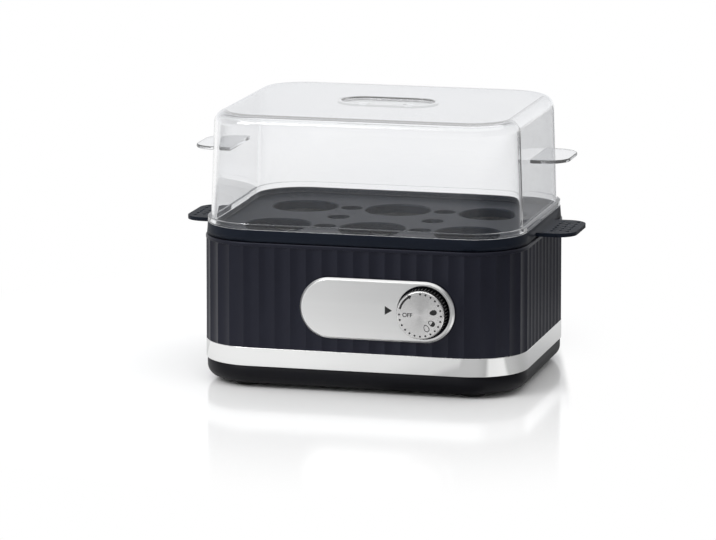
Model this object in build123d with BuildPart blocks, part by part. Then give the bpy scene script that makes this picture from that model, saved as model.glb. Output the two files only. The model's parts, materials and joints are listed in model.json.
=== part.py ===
from build123d import *
import math
import os

# Electric egg cooker: a fluted casing on a base pan, a water dish with its heater, an egg tray,
# a clear lid and a timer knob. Millimetres, +Z up. The origin is the middle of the casing's plan,
# on the table that the feet stand on. The knob faces -Y.

os.makedirs("parts", exist_ok=True)

# Casing, band, pan and feet
casing_w = 172.0
casing_d = 138.3
casing_r = 30.0
casing_h = 65.1
casing_wall = 2.0
top_band_h = 2.0
top_edge_r = 0.8
flute_count = 68
flute_depth = 0.9
ridge_in = 0.05
band_h = 9.8
band_t = 1.0
band_gap = 0.1
pan_h = 10.0
pan_inset = 0.6
pan_edge_r = 5.8
pan_floor_t = 2.2
pan_lip_h = 4.0
pan_lip_t = 1.5
pan_lip_gap = 0.2
foot_chamfer = 0.5
vent_l = 20.0
vent_w = 2.5
vent_pitch = 7.0
vent_count = 5
foot_h = 2.0
foot_r = 6.5
foot_sunk = 1.0
foot_in_x = 26.0
foot_in_y = 15.15

# Posts and screws that hold the pan to the casing
post_in_x = 15.0
post_in_y = 35.15
post_r = 4.5
post_rib_t = 1.8
post_top_gap = 2.0
pan_boss_r = 5.4
pan_boss_h = 13.8
screw_r = 1.75
screw_gap = 0.05
screw_head_r = 3.4
screw_head_h = 2.2
screw_bite = 11.0
screw_seat_t = 6.0

# Ledge, gasket and water dish
ledge_w = 8.0
ledge_t = 2.5
gasket_t = 1.0
dish_t = 0.8
dish_gap = 0.3
basin_gap = 0.8
dish_depth = 11.3
dish_edge_r = 4.0
stud_r = 1.5
stud_gap = 0.2
stud_l = 7.5
stud_in_x = 41.0
nut_flat = 5.5
nut_h = 2.4
thread_gap = 0.05

# Egg tray
skirt_gap = 0.5
skirt_h = 5.8
skirt_inset = 0.6
skirt_draft = 0.45
tray_floor_drop = 3.4
tray_floor_t = 2.0
tray_spigot_h = 3.0
tray_spigot_t = 1.6
tray_edge_r = 0.5
tray_spigot_gap = 0.35
seat_r = 17.5
seat_in_x = 35.0
seat_in_y = 41.15
seat_edge_r = 0.8
seat_collar_t = 1.2
seat_collar_h = 2.5
steam_web = 2.0
tray_tab_out = 19.0
tray_tab_w = 41.0
tray_tab_r = 10.0
grip_r = 0.9
grip_depth = 0.6
grip_pitch = 5.4
grip_rows = 3
grip_count = 6
grip_in = 4.5
grip_row_pitch = 4.2

# Lid
lid_h = 58.8
lid_t = 2.0
lid_step_x = 2.95
lid_step_y = 2.2
lid_draft = 2.05
lid_top_r = 6.2
lid_flange_h = 3.0
lid_spigot_h = 2.5
lid_spigot_step = 0.4
lid_gap = 0.3
lid_tab_drop = 24.2
lid_tab_t = 1.8
lid_tab_out = 14.7
lid_tab_w = 40.0
lid_tab_r = 12.0
recess_w = 50.0
recess_d = 24.0
recess_y = 5.0
recess_depth = 1.2
steam_vent_r = 2.9
steam_vent_x = 12.0
steam_vent_y = 0.8

# Front plate and knob
plate_w = 82.0
plate_h = 32.0
plate_t = 1.8
plate_bevel = 1.1
plate_end_gap = 2.1
plate_rise = 33.1
pad_inset = 0.9
knob_from_end = 0.3
knob_hole_r = 14.0
knob_r = 13.3
knob_ribs = 48
knob_rib_w = 0.9
knob_rib_h = 0.5
knob_gap = 0.4
knob_face_t = 2.0
knob_out = 7.7
knob_wall = 1.6
knob_hub_r = 5.2
cap_r = 12.5
cap_t = 1.2
cap_bevel = 0.5
cap_pin_r = 2.0
cap_pin_l = 1.2
shaft_r = 3.0
shaft_flat = 1.5
shaft_end_gap = 0.3
shaft_into_face = 0.5
fit_gap = 0.05
collar_r = 3.8
collar_gap = 0.2
rotor_r = 6.0
rotor_t = 1.5

# Control board and what it carries
board_t = 1.6
board_w = 56.0
board_h = 30.0
board_left = 33.0
board_low = 16.0
board_boss_l = 8.0
board_boss_r = 3.0
board_hole_in = 3.5
board_screw_r = 1.2
board_screw_head_r = 2.4
board_screw_head_h = 1.6
board_screw_l = 7.0
control_side = 17.0
control_t = 6.75
control_wall = 1.5
control_edge_r = 1.5
collar_sunk = 0.4
shaft_tail_l = 1.5
flat_to_collar = 0.5
relay_w = 15.0
relay_d = 12.0
relay_h = 16.0
capacitor_w = 12.0
capacitor_d = 12.0
capacitor_h = 9.0
buzzer_r = 6.0
buzzer_h = 9.5
buzzer_port_r = 1.0
connector_w = 24.0
connector_d = 10.0
connector_h = 6.5
connector_in = 31.0
board_margin = 0.5
board_screw_room = 6.0
case_edge_r = 0.6
way_pitch = 8.0
way_r = 1.6
way_depth = 6.0

# Heater under the dish
spreader_w = 112.0
spreader_d = 62.0
spreader_t = 2.5
tube_r = 3.3
touch = 0.05
loop_x = 42.0
loop_y = 20.0
loop_r = 16.0
loop_exit_x = 10.0
loop_exit_y = 36.0
pin_r = 1.2
pin_l = 4.0
hanger_r = 2.0
hanger_x = 24.0
hanger_gap = 0.2
thread_show = 0.8
clamp_t = 1.2
clamp_w = 12.0
clamp_l = 52.0
big_nut_flat = 7.0
big_nut_h = 3.2
spacer_r = 3.5
spacer_h = 3.0
shield_w = 110.0
shield_d = 72.0
shield_t = 0.6
shield_lip = 4.0
shield_r = 8.0
thermostat_r = 7.9
tab_w = 6.3
tab_t = 0.8
tab_y = 12.0
tab_drop = 9.0
fuse_r = 2.2
fuse_l = 13.0
fuse_in = 13.0
fuse_wire_r = 0.6
clip_t = 0.6
clip_w = 5.0
clip_foot = 3.0
lug_t = 0.8
lug_r = 4.0
lug_tail_w = 4.0
lug_tail_l = 5.2
lug_barrel_r = 1.6
lug_barrel_l = 5.5
lug_joint = 0.6
lug_end_t = 1.0
lug_lead_l = 3.5

# Terminal block, leads and the cord's bushing
block_y = 22.0
block_w = 30.0
block_d = 14.0
block_h = 12.0
block_pitch = 10.0
block_way_z = 7.0
block_screw_r = 2.0
block_screw_h = 3.0
block_screw_sunk = 0.6
slot_w = 0.8
lead_r = 1.1
lead_gap = 0.3
lead_in = 1.5
rear_bend = 16.0
front_bend = 8.0
earth_bend = 22.0
floor_rise = 3.0
inlet_rise = 20.0
inlet_bore_r = 3.7
inlet_room_r = 4.2
inlet_room_out = 0.6
inlet_barrel_r = 6.4
inlet_flange_r = 8.5
inlet_flange_t = 2.5
inlet_sleeve_r = 6.2
inlet_sleeve_end_r = 0.8
inlet_sleeve_l = 6.4
inlet_lock_t = 2.0
inlet_lock_r = 8.0
inlet_gap = 0.1

# Levels above the table, from the feet up
pan_z = foot_h
shoulder_z = pan_z + pan_h
flute_z = shoulder_z + band_h
rim_z = shoulder_z + casing_h
skirt_z = rim_z + skirt_gap
tray_z = skirt_z + skirt_h
tray_floor_z = tray_z - tray_floor_drop
tray_under_z = tray_floor_z - tray_floor_t
dish_rim_z = rim_z - tray_spigot_h
dish_flange_z = dish_rim_z - dish_t
ledge_z = dish_flange_z - gasket_t
ledge_under_z = ledge_z - ledge_t
dish_under_z = dish_flange_z - dish_depth
lid_z = tray_z + lid_h
pan_floor_z = pan_z + pan_floor_t
post_z = pan_floor_z + pan_boss_h
screw_seat_z = post_z - screw_seat_t
spreader_z = dish_under_z - spreader_t
tube_z = spreader_z - tube_r - touch
clamp_z = tube_z - tube_r - touch
clamp_under_z = clamp_z - clamp_t
spacer_z = clamp_under_z - big_nut_h
shield_z = spacer_z - spacer_h
shield_under_z = shield_z - shield_t
lug_under_z = shield_under_z - lug_t
hanger_end_z = lug_under_z - big_nut_h - thread_show
knob_z = shoulder_z + plate_rise
way_z = pan_floor_z + block_way_z
tab_end_z = tube_z - tab_drop

# Plan distances
front_y = -casing_d / 2
inner_inset = flute_depth + casing_wall
inner_front_y = front_y + inner_inset
ledge_inset = inner_inset + ledge_w
basin_inset = ledge_inset + basin_gap
foot_x = casing_w / 2 - foot_in_x
foot_y = casing_d / 2 - foot_in_y
post_x = casing_w / 2 - post_in_x
post_y = casing_d / 2 - post_in_y
stud_x = casing_w / 2 - stud_in_x
stud_y = casing_d / 2 - inner_inset - ledge_w / 2
seat_x = casing_w / 2 - seat_in_x
seat_y = casing_d / 2 - seat_in_y
steam_r = seat_x / 2 - seat_r - steam_web
tray_tab_x = casing_w / 2 + tray_tab_out
lid_tab_x = casing_w / 2 + lid_tab_out
fuse_y = shield_d / 2 - fuse_in
pan_lip_inset = inner_inset + pan_lip_gap
pan_inner_inset = pan_lip_inset + pan_lip_t
rim_inset = skirt_inset + skirt_draft
tray_spigot_inset = inner_inset + tray_spigot_gap
lid_slope = math.tan(math.radians(lid_draft))
lid_inner_x = lid_step_x + lid_t - lid_spigot_h * lid_slope
lid_inner_y = lid_step_y + lid_t - lid_spigot_h * lid_slope
lid_spigot_x = lid_step_x + lid_spigot_step
lid_spigot_y = lid_step_y + lid_spigot_step
rim_inner_x = lid_spigot_x - lid_gap
rim_inner_y = lid_spigot_y - lid_gap
tab_root_x = casing_w / 2 - lid_step_x - (lid_h - lid_tab_drop) * lid_slope - lid_t / 2
plate_x = casing_w / 2 - casing_r - plate_end_gap - plate_w / 2
knob_x = plate_x + plate_w / 2 - plate_h / 2 - knob_from_end
knob_rear_y = front_y - knob_gap
knob_front_y = front_y - knob_out
shaft_end_y = knob_front_y + knob_face_t - shaft_into_face
board_front_y = inner_front_y + board_boss_l
board_rear_y = board_front_y + board_t
control_front_y = board_front_y - control_t
board_x = knob_x - board_left + board_w / 2
board_z = knob_z - board_low + board_h / 2
connector_x = board_x + board_w / 2 - connector_in
connector_z = board_z - board_h / 2 + connector_h / 2 + board_margin
connector_rear_y = board_rear_y + connector_d
block_front_y = block_y - block_d / 2
block_rear_y = block_y + block_d / 2
lead_y = loop_exit_y + rear_bend
inlet_z = shoulder_z + inlet_rise
inlet_mouth_y = -front_y + inlet_flange_t + inlet_sleeve_l

table = Plane.XY
front = Plane.XZ.offset(-front_y)


def plan(inset_x, inset_y=None, mode=Mode.ADD):
    """Rounded rectangle that stands in from the casing's plan by the given distances."""
    if inset_y is None:
        inset_y = inset_x
    return RectangleRounded(
        casing_w - 2 * inset_x,
        casing_d - 2 * inset_y,
        casing_r - max(inset_x, inset_y),
        mode=mode,
    )


def facing(y):
    """Upright plane at y that looks to the front: its x is X and its y is Z."""
    return Plane.XZ.offset(-y)


# Half of the ridges' outline, from the middle of the front round to the middle of the rear
ridge_x = casing_w / 2 - ridge_in
ridge_y = casing_d / 2 - ridge_in
with BuildLine() as half_outline:
    FilletPolyline(
        (0, -ridge_y),
        (ridge_x, -ridge_y),
        (ridge_x, ridge_y),
        (0, ridge_y),
        radius=casing_r - ridge_in,
    )
half_path = half_outline.wire()
half_flutes = flute_count // 2

with BuildSketch() as fluted_plan:
    with BuildLine():
        for k in range(half_flutes):
            middle = (k + 0.5) / half_flutes
            heading = half_path % middle
            inward = Vector(-heading.Y, heading.X, 0)
            ThreePointArc(
                half_path @ (k / half_flutes),
                half_path @ middle + inward * (flute_depth - ridge_in),
                half_path @ ((k + 1) / half_flutes),
            )
        mirror(about=Plane.YZ)
    make_face()

post_spots = [(x, y) for x in (-post_x, post_x) for y in (-post_y, post_y)]
board_spots = [
    (board_x + sx * (board_w / 2 - board_hole_in), board_z + sz * (board_h / 2 - board_hole_in))
    for sx in (-1, 1)
    for sz in (-1, 1)
]
flange_studs = [(x, y) for x in (-stud_x, stud_x) for y in (-stud_y, stud_y)]
hangers = [(-hanger_x, 0), (hanger_x, 0)]

# Casing: fluted shell with a smooth top edge, a ledge for the dish, posts and bosses
with BuildPart() as casing:
    with BuildSketch(table.offset(flute_z)):
        add(fluted_plan.sketch)
    extrude(amount=rim_z - top_band_h - flute_z)
    with BuildSketch(table.offset(rim_z - top_band_h)):
        plan(0)
    extrude(amount=top_band_h)
    fillet(casing.edges().group_by(Axis.Z)[-1], top_edge_r)
    with BuildSketch(table.offset(shoulder_z)):
        plan(band_t + band_gap)
    extrude(amount=band_h)
    with BuildSketch(front):
        with Locations((plate_x, knob_z)):
            SlotOverall(plate_w - 2 * pad_inset, plate_h - 2 * pad_inset)
    extrude(amount=-inner_inset)
    with BuildSketch(facing(-front_y)):
        with Locations((0, inlet_z)):
            Circle(inlet_flange_r)
    extrude(amount=inner_inset)
    with BuildSketch(table.offset(shoulder_z)):
        plan(inner_inset)
    extrude(amount=casing_h, mode=Mode.SUBTRACT)
    with BuildSketch(table.offset(ledge_under_z)):
        plan(inner_inset)
        plan(ledge_inset, mode=Mode.SUBTRACT)
        with Locations(*flange_studs):
            Circle(stud_r + stud_gap, mode=Mode.SUBTRACT)
    extrude(amount=ledge_t)
    with BuildSketch(table.offset(post_z)):
        for x, y in post_spots:
            side = math.copysign(1, x)
            reach = casing_w / 2 - flute_depth - casing_wall / 2 - post_x
            with Locations((x, y)):
                Circle(post_r)
            with Locations((x + side * reach / 2, y)):
                Rectangle(reach, post_rib_t)
        with Locations(*post_spots):
            Circle(screw_r + screw_gap, mode=Mode.SUBTRACT)
    extrude(amount=dish_under_z - post_top_gap - post_z)
    with BuildSketch(facing(inner_front_y)):
        with Locations(*board_spots):
            Circle(board_boss_r)
            Circle(board_screw_r + screw_gap, mode=Mode.SUBTRACT)
    extrude(amount=-board_boss_l)
    with BuildSketch(front):
        with Locations((knob_x, knob_z)):
            Circle(collar_r + collar_gap)
    extrude(amount=-inner_inset, mode=Mode.SUBTRACT)
    with BuildSketch(facing(-front_y)):
        with Locations((0, inlet_z)):
            Circle(inlet_barrel_r + inlet_gap)
    extrude(amount=inner_inset, mode=Mode.SUBTRACT)
casing.part.label = "casing"
export_step(casing.part, "parts/casing.step")

# Bright band that wraps the casing's stepped foot
with BuildPart() as chrome_band:
    with BuildSketch(table.offset(shoulder_z)):
        plan(0)
        plan(band_t, mode=Mode.SUBTRACT)
    extrude(amount=band_h)
chrome_band.part.label = "chrome_band"
export_step(chrome_band.part, "parts/chrome_band.step")

# Base pan: rounded below, with a locating lip, screw bosses, foot recesses and vents
with BuildPart() as base_pan:
    with BuildSketch(table.offset(pan_z)):
        plan(pan_inset)
    extrude(amount=pan_h)
    fillet(base_pan.edges().group_by(Axis.Z)[0], pan_edge_r)
    with BuildSketch(table.offset(shoulder_z)):
        plan(pan_lip_inset)
    extrude(amount=pan_lip_h)
    with BuildSketch(table.offset(pan_floor_z)):
        plan(pan_inner_inset)
    extrude(amount=pan_h + pan_lip_h, mode=Mode.SUBTRACT)
    with BuildSketch(table.offset(pan_floor_z)):
        with Locations(*post_spots):
            Circle(pan_boss_r)
    extrude(amount=pan_boss_h)
    with BuildSketch(table.offset(pan_z)):
        with Locations(*post_spots):
            Circle(screw_r + stud_gap)
    extrude(amount=post_z - pan_z, mode=Mode.SUBTRACT)
    with BuildSketch(table.offset(pan_z)):
        with Locations(*post_spots):
            Circle(screw_head_r + stud_gap)
    extrude(amount=screw_seat_z - pan_z, mode=Mode.SUBTRACT)
    with BuildSketch(table.offset(pan_z)):
        with GridLocations(2 * foot_x, 2 * foot_y, 2, 2):
            Circle(foot_r + fit_gap)
    extrude(amount=foot_sunk, mode=Mode.SUBTRACT)
    with BuildSketch(table.offset(pan_z)):
        with GridLocations(2 * vent_l, vent_pitch, 2, vent_count):
            SlotOverall(vent_l, vent_w)
    extrude(amount=pan_floor_t, mode=Mode.SUBTRACT)
base_pan.part.label = "base_pan"
export_step(base_pan.part, "parts/base_pan.step")

# Feet, pressed into their recesses
with BuildPart() as rubber_feet:
    with BuildSketch(table):
        with GridLocations(2 * foot_x, 2 * foot_y, 2, 2):
            Circle(foot_r)
    extrude(amount=foot_h + foot_sunk)
    chamfer(rubber_feet.edges().group_by(Axis.Z)[0], foot_chamfer)
rubber_feet.part.label = "rubber_feet"
export_step(rubber_feet.part, "parts/rubber_feet.step")

# Screws from under the pan into the casing's posts
with BuildPart() as base_screws:
    with BuildSketch(table.offset(screw_seat_z - screw_head_h)):
        with Locations(*post_spots):
            Circle(screw_head_r)
    extrude(amount=screw_head_h)
    with BuildSketch(table.offset(screw_seat_z)):
        with Locations(*post_spots):
            Circle(screw_r)
    extrude(amount=screw_seat_t + screw_bite)
base_screws.part.label = "base_screws"
export_step(base_screws.part, "parts/base_screws.step")

# Bushing that the mains cord would pass through: a close sleeve outside, with more room inside
with BuildPart() as cord_inlet:
    with BuildSketch(facing(inlet_mouth_y)):
        with Locations((0, inlet_z)):
            Circle(inlet_sleeve_r)
    extrude(amount=inlet_sleeve_l)
    fillet(cord_inlet.edges().group_by(Axis.Y)[-1], inlet_sleeve_end_r)
    with BuildSketch(facing(-front_y + inlet_flange_t)):
        with Locations((0, inlet_z)):
            Circle(inlet_flange_r)
    extrude(amount=inlet_flange_t)
    with BuildSketch(facing(-front_y)):
        with Locations((0, inlet_z)):
            Circle(inlet_barrel_r)
    extrude(amount=inner_inset)
    with BuildSketch(facing(-inner_front_y)):
        with Locations((0, inlet_z)):
            Circle(inlet_lock_r)
    extrude(amount=inlet_lock_t)
    with BuildSketch(facing(inlet_mouth_y)):
        with Locations((0, inlet_z)):
            Circle(inlet_bore_r)
    extrude(amount=inlet_sleeve_l + inlet_flange_t, mode=Mode.SUBTRACT)
    with BuildSketch(facing(-front_y + inlet_room_out)):
        with Locations((0, inlet_z)):
            Circle(inlet_room_r)
    extrude(amount=inlet_room_out + inner_inset + inlet_lock_t, mode=Mode.SUBTRACT)
cord_inlet.part.label = "cord_inlet"
export_step(cord_inlet.part, "parts/cord_inlet.step")

# Front plate, bevelled all round, with the knob's hole
with BuildPart() as front_plate:
    with BuildSketch(front):
        with Locations((plate_x, knob_z)):
            SlotOverall(plate_w, plate_h)
    extrude(amount=plate_t)
    chamfer(front_plate.edges().group_by(Axis.Y)[0], plate_bevel)
    with BuildSketch(front):
        with Locations((knob_x, knob_z)):
            Circle(knob_hole_r)
    extrude(amount=plate_t, mode=Mode.SUBTRACT)
front_plate.part.label = "front_plate"
export_step(front_plate.part, "parts/front_plate.step")

# Water dish: pressed steel, with flange studs and two hanger studs welded below
with BuildPart() as dish_hollow:
    with BuildSketch(table.offset(dish_under_z + dish_t)):
        plan(basin_inset + dish_t)
    extrude(amount=dish_depth)
    fillet(dish_hollow.edges().group_by(Axis.Z)[0], dish_edge_r - dish_t)

with BuildPart() as heating_dish:
    with BuildSketch(table.offset(dish_under_z)):
        plan(basin_inset)
    extrude(amount=dish_depth)
    fillet(heating_dish.edges().group_by(Axis.Z)[0], dish_edge_r)
    with BuildSketch(table.offset(dish_flange_z)):
        plan(inner_inset + dish_gap)
    extrude(amount=dish_t)
    add(dish_hollow.part, mode=Mode.SUBTRACT)
    with BuildSketch(table.offset(dish_flange_z)):
        with Locations(*flange_studs):
            Circle(stud_r)
    extrude(amount=-stud_l)
    with BuildSketch(table.offset(dish_under_z)):
        with Locations(*hangers):
            Circle(hanger_r)
    extrude(amount=hanger_end_z - dish_under_z)
heating_dish.part.label = "heating_dish"
export_step(heating_dish.part, "parts/heating_dish.step")

# Flat seal between the ledge and the dish
with BuildPart() as dish_gasket:
    with BuildSketch(table.offset(ledge_z)):
        plan(inner_inset + dish_gap)
        plan(ledge_inset, mode=Mode.SUBTRACT)
        with Locations(*flange_studs):
            Circle(stud_r + stud_gap, mode=Mode.SUBTRACT)
    extrude(amount=gasket_t)
dish_gasket.part.label = "dish_gasket"
export_step(dish_gasket.part, "parts/dish_gasket.step")

# Nuts on the flange studs, under the ledge
with BuildPart() as dish_nuts:
    with BuildSketch(table.offset(ledge_under_z - nut_h)):
        with Locations(*flange_studs):
            RegularPolygon(nut_flat / 2, 6, major_radius=False)
            Circle(stud_r + thread_gap, mode=Mode.SUBTRACT)
    extrude(amount=nut_h)
dish_nuts.part.label = "dish_nuts"
export_step(dish_nuts.part, "parts/dish_nuts.step")

# Aluminium plate that spreads the heat under the dish
with BuildPart() as heat_spreader:
    with BuildSketch(table.offset(spreader_z)):
        SlotOverall(spreader_w, spreader_d)
        with Locations(*hangers):
            Circle(hanger_r + hanger_gap, mode=Mode.SUBTRACT)
    extrude(amount=spreader_t)
heat_spreader.part.label = "heat_spreader"
export_step(heat_spreader.part, "parts/heat_spreader.step")

# Sheathed heater bent into a loop, with its two cold pins
with BuildPart() as heating_element:
    with BuildLine(table.offset(tube_z)):
        FilletPolyline(
            (-loop_exit_x, loop_exit_y),
            (-loop_exit_x, loop_y),
            (-loop_x, loop_y),
            (-loop_x, -loop_y),
            (loop_x, -loop_y),
            (loop_x, loop_y),
            (loop_exit_x, loop_y),
            (loop_exit_x, loop_exit_y),
            radius=[loop_r / 2, loop_r, loop_r, loop_r, loop_r, loop_r / 2],
        )
    with BuildSketch(Plane(origin=(-loop_exit_x, loop_exit_y, tube_z), z_dir=(0, -1, 0))):
        Circle(tube_r)
    sweep()
    with BuildSketch(facing(loop_exit_y)):
        with Locations((-loop_exit_x, tube_z), (loop_exit_x, tube_z)):
            Circle(pin_r)
    extrude(amount=-pin_l)
heating_element.part.label = "heating_element"
export_step(heating_element.part, "parts/heating_element.step")

# H-shaped spring plate that presses the heater and the thermostat up
with BuildPart() as element_clamp:
    with BuildSketch(table.offset(clamp_under_z)):
        with Locations(*hangers):
            Rectangle(clamp_w, clamp_l)
        Rectangle(2 * hanger_x, clamp_w)
        with Locations(*hangers):
            Circle(hanger_r + hanger_gap, mode=Mode.SUBTRACT)
    extrude(amount=clamp_t)
element_clamp.part.label = "element_clamp"
export_step(element_clamp.part, "parts/element_clamp.step")

with BuildPart() as clamp_nuts:
    with BuildSketch(table.offset(spacer_z)):
        with Locations(*hangers):
            RegularPolygon(big_nut_flat / 2, 6, major_radius=False)
            Circle(hanger_r + thread_gap, mode=Mode.SUBTRACT)
    extrude(amount=big_nut_h)
clamp_nuts.part.label = "clamp_nuts"
export_step(clamp_nuts.part, "parts/clamp_nuts.step")

with BuildPart() as shield_spacers:
    with BuildSketch(table.offset(shield_z)):
        with Locations(*hangers):
            Circle(spacer_r)
            Circle(hanger_r + hanger_gap, mode=Mode.SUBTRACT)
    extrude(amount=spacer_h)
shield_spacers.part.label = "shield_spacers"
export_step(shield_spacers.part, "parts/shield_spacers.step")

# Sheet that keeps the heat off the electronics, with its edge turned down
with BuildPart() as heat_shield:
    with BuildSketch(table.offset(shield_under_z - shield_lip)):
        RectangleRounded(shield_w, shield_d, shield_r)
        RectangleRounded(
            shield_w - 2 * shield_t, shield_d - 2 * shield_t, shield_r - shield_t, mode=Mode.SUBTRACT
        )
    extrude(amount=shield_lip)
    with BuildSketch(table.offset(shield_under_z)):
        RectangleRounded(shield_w, shield_d, shield_r)
        with Locations(*hangers):
            Circle(hanger_r + hanger_gap, mode=Mode.SUBTRACT)
    extrude(amount=shield_t)
heat_shield.part.label = "heat_shield"
export_step(heat_shield.part, "parts/heat_shield.step")

# Earth lug on the left hanger, and the two nuts below the shield
barrel_x = -hanger_x - lug_tail_l - lug_barrel_l / 2 + lug_joint
barrel_z = lug_under_z + lug_t - lug_barrel_r - 2 * touch
with BuildPart() as earth_lug:
    with BuildSketch(table.offset(lug_under_z)):
        with Locations((-hanger_x, 0)):
            Circle(lug_r)
        with Locations((-hanger_x - lug_tail_l / 2, 0)):
            Rectangle(lug_tail_l, lug_tail_w)
        with Locations((-hanger_x, 0)):
            Circle(hanger_r + thread_gap, mode=Mode.SUBTRACT)
    extrude(amount=lug_t)
    with BuildSketch(Plane.YZ.offset(barrel_x - lug_barrel_l / 2)):
        with Locations((0, barrel_z)):
            Circle(lug_barrel_r)
    extrude(amount=lug_barrel_l)
    with BuildSketch(Plane.YZ.offset(barrel_x - lug_barrel_l / 2)):
        with Locations((0, barrel_z)):
            Circle(lead_r + fit_gap)
    extrude(amount=lug_barrel_l - lug_end_t, mode=Mode.SUBTRACT)
earth_lug.part.label = "earth_lug"
export_step(earth_lug.part, "parts/earth_lug.step")

with BuildPart() as shield_nuts:
    for x, top_z in ((-hanger_x, lug_under_z), (hanger_x, shield_under_z)):
        with BuildSketch(table.offset(top_z - big_nut_h)):
            with Locations((x, 0)):
                RegularPolygon(big_nut_flat / 2, 6, major_radius=False)
                Circle(hanger_r + thread_gap, mode=Mode.SUBTRACT)
        extrude(amount=big_nut_h)
shield_nuts.part.label = "shield_nuts"
export_step(shield_nuts.part, "parts/shield_nuts.step")

# Thermostat under the middle of the spreader, with two tabs bent down
with BuildPart() as thermostat:
    with BuildSketch(table.offset(clamp_z)):
        Circle(thermostat_r)
    extrude(amount=spreader_z - clamp_z)
    for side in (-1, 1):
        with BuildSketch(table.offset(tube_z - tab_t / 2)):
            with Locations((0, side * tab_y / 2)):
                Rectangle(tab_w, tab_y)
        extrude(amount=tab_t)
        with BuildSketch(table.offset(tab_end_z)):
            with Locations((0, side * (tab_y - tab_t / 2))):
                Rectangle(tab_w, tab_t)
        extrude(amount=tube_z - tab_end_z)
thermostat.part.label = "thermostat"
export_step(thermostat.part, "parts/thermostat.step")

# Thermal fuse on the shield, wired behind the thermostat, and its clip
fuse_z = shield_z + fuse_r + touch
with BuildPart() as thermal_fuse:
    with BuildSketch(facing(fuse_y - fuse_l / 2)):
        with Locations((0, fuse_z)):
            Circle(fuse_r)
    extrude(amount=-fuse_l)
    with BuildSketch(facing(tab_y)):
        with Locations((0, fuse_z)):
            Circle(fuse_wire_r)
    extrude(amount=-2 * (fuse_y - tab_y))
thermal_fuse.part.label = "thermal_fuse"
export_step(thermal_fuse.part, "parts/thermal_fuse.step")

clip_in = fuse_r + touch
with BuildPart() as fuse_clip:
    with BuildSketch(facing(fuse_y - clip_w / 2)):
        with Locations((0, shield_z)):
            Rectangle(2 * (clip_in + clip_t), clip_in, align=(Align.CENTER, Align.MIN))
            Rectangle(
                2 * (clip_in + clip_t + clip_foot), clip_t, align=(Align.CENTER, Align.MIN)
            )
        with Locations((0, fuse_z)):
            Circle(clip_in + clip_t)
            Circle(clip_in, mode=Mode.SUBTRACT)
        with Locations((0, shield_z)):
            Rectangle(2 * clip_in, clip_in, align=(Align.CENTER, Align.MIN), mode=Mode.SUBTRACT)
            Rectangle(
                2 * (clip_in + clip_t), clip_in, align=(Align.CENTER, Align.MAX), mode=Mode.SUBTRACT
            )
    extrude(amount=-clip_w)
fuse_clip.part.label = "fuse_clip"
export_step(fuse_clip.part, "parts/fuse_clip.step")

# Control board behind the front wall
with BuildPart() as control_board:
    with BuildSketch(facing(board_front_y)):
        with Locations((board_x, board_z)):
            Rectangle(board_w, board_h)
        with Locations(*board_spots):
            Circle(board_screw_r + screw_gap, mode=Mode.SUBTRACT)
    extrude(amount=-board_t)
control_board.part.label = "control_board"
export_step(control_board.part, "parts/control_board.step")

with BuildPart() as board_screws:
    with BuildSketch(facing(board_rear_y)):
        with Locations(*board_spots):
            Circle(board_screw_head_r)
    extrude(amount=-board_screw_head_h)
    with BuildSketch(facing(board_rear_y)):
        with Locations(*board_spots):
            Circle(board_screw_r)
    extrude(amount=board_t + board_screw_l)
board_screws.part.label = "board_screws"
export_step(board_screws.part, "parts/board_screws.step")

# Rotary control: body, collar through the casing, and a pocket for the shaft's rotor
rotor_front_y = control_front_y + control_wall
collar_front_y = front_y + collar_sunk
with BuildPart() as rotary_control:
    with BuildSketch(facing(control_front_y)):
        with Locations((knob_x, knob_z)):
            RectangleRounded(control_side, control_side, control_edge_r)
    extrude(amount=-control_t)
    with BuildSketch(facing(collar_front_y)):
        with Locations((knob_x, knob_z)):
            Circle(collar_r)
    extrude(amount=-(control_front_y - collar_front_y))
    with BuildSketch(facing(rotor_front_y)):
        with Locations((knob_x, knob_z)):
            Circle(rotor_r + fit_gap)
    extrude(amount=-(rotor_t + 2 * fit_gap), mode=Mode.SUBTRACT)
    with BuildSketch(facing(collar_front_y)):
        with Locations((knob_x, knob_z)):
            Circle(shaft_r + fit_gap)
    extrude(
        amount=-(rotor_front_y + rotor_t + shaft_tail_l + collar_gap - collar_front_y),
        mode=Mode.SUBTRACT,
    )
rotary_control.part.label = "rotary_control"
export_step(rotary_control.part, "parts/rotary_control.step")

# Shaft with its rotor disc, flatted where the knob grips it
with BuildPart() as control_shaft:
    with BuildSketch(facing(shaft_end_y)):
        with Locations((knob_x, knob_z)):
            Circle(shaft_r)
    extrude(amount=-(rotor_front_y + rotor_t + shaft_tail_l - shaft_end_y))
    with BuildSketch(facing(rotor_front_y + fit_gap)):
        with Locations((knob_x, knob_z)):
            Circle(rotor_r)
    extrude(amount=-rotor_t)
    with BuildSketch(facing(shaft_end_y)):
        with Locations((knob_x, knob_z + shaft_flat)):
            Rectangle(2 * shaft_r, shaft_r, align=(Align.CENTER, Align.MIN))
    extrude(amount=-(collar_front_y - flat_to_collar - shaft_end_y), mode=Mode.SUBTRACT)
control_shaft.part.label = "control_shaft"
export_step(control_shaft.part, "parts/control_shaft.step")

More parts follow.
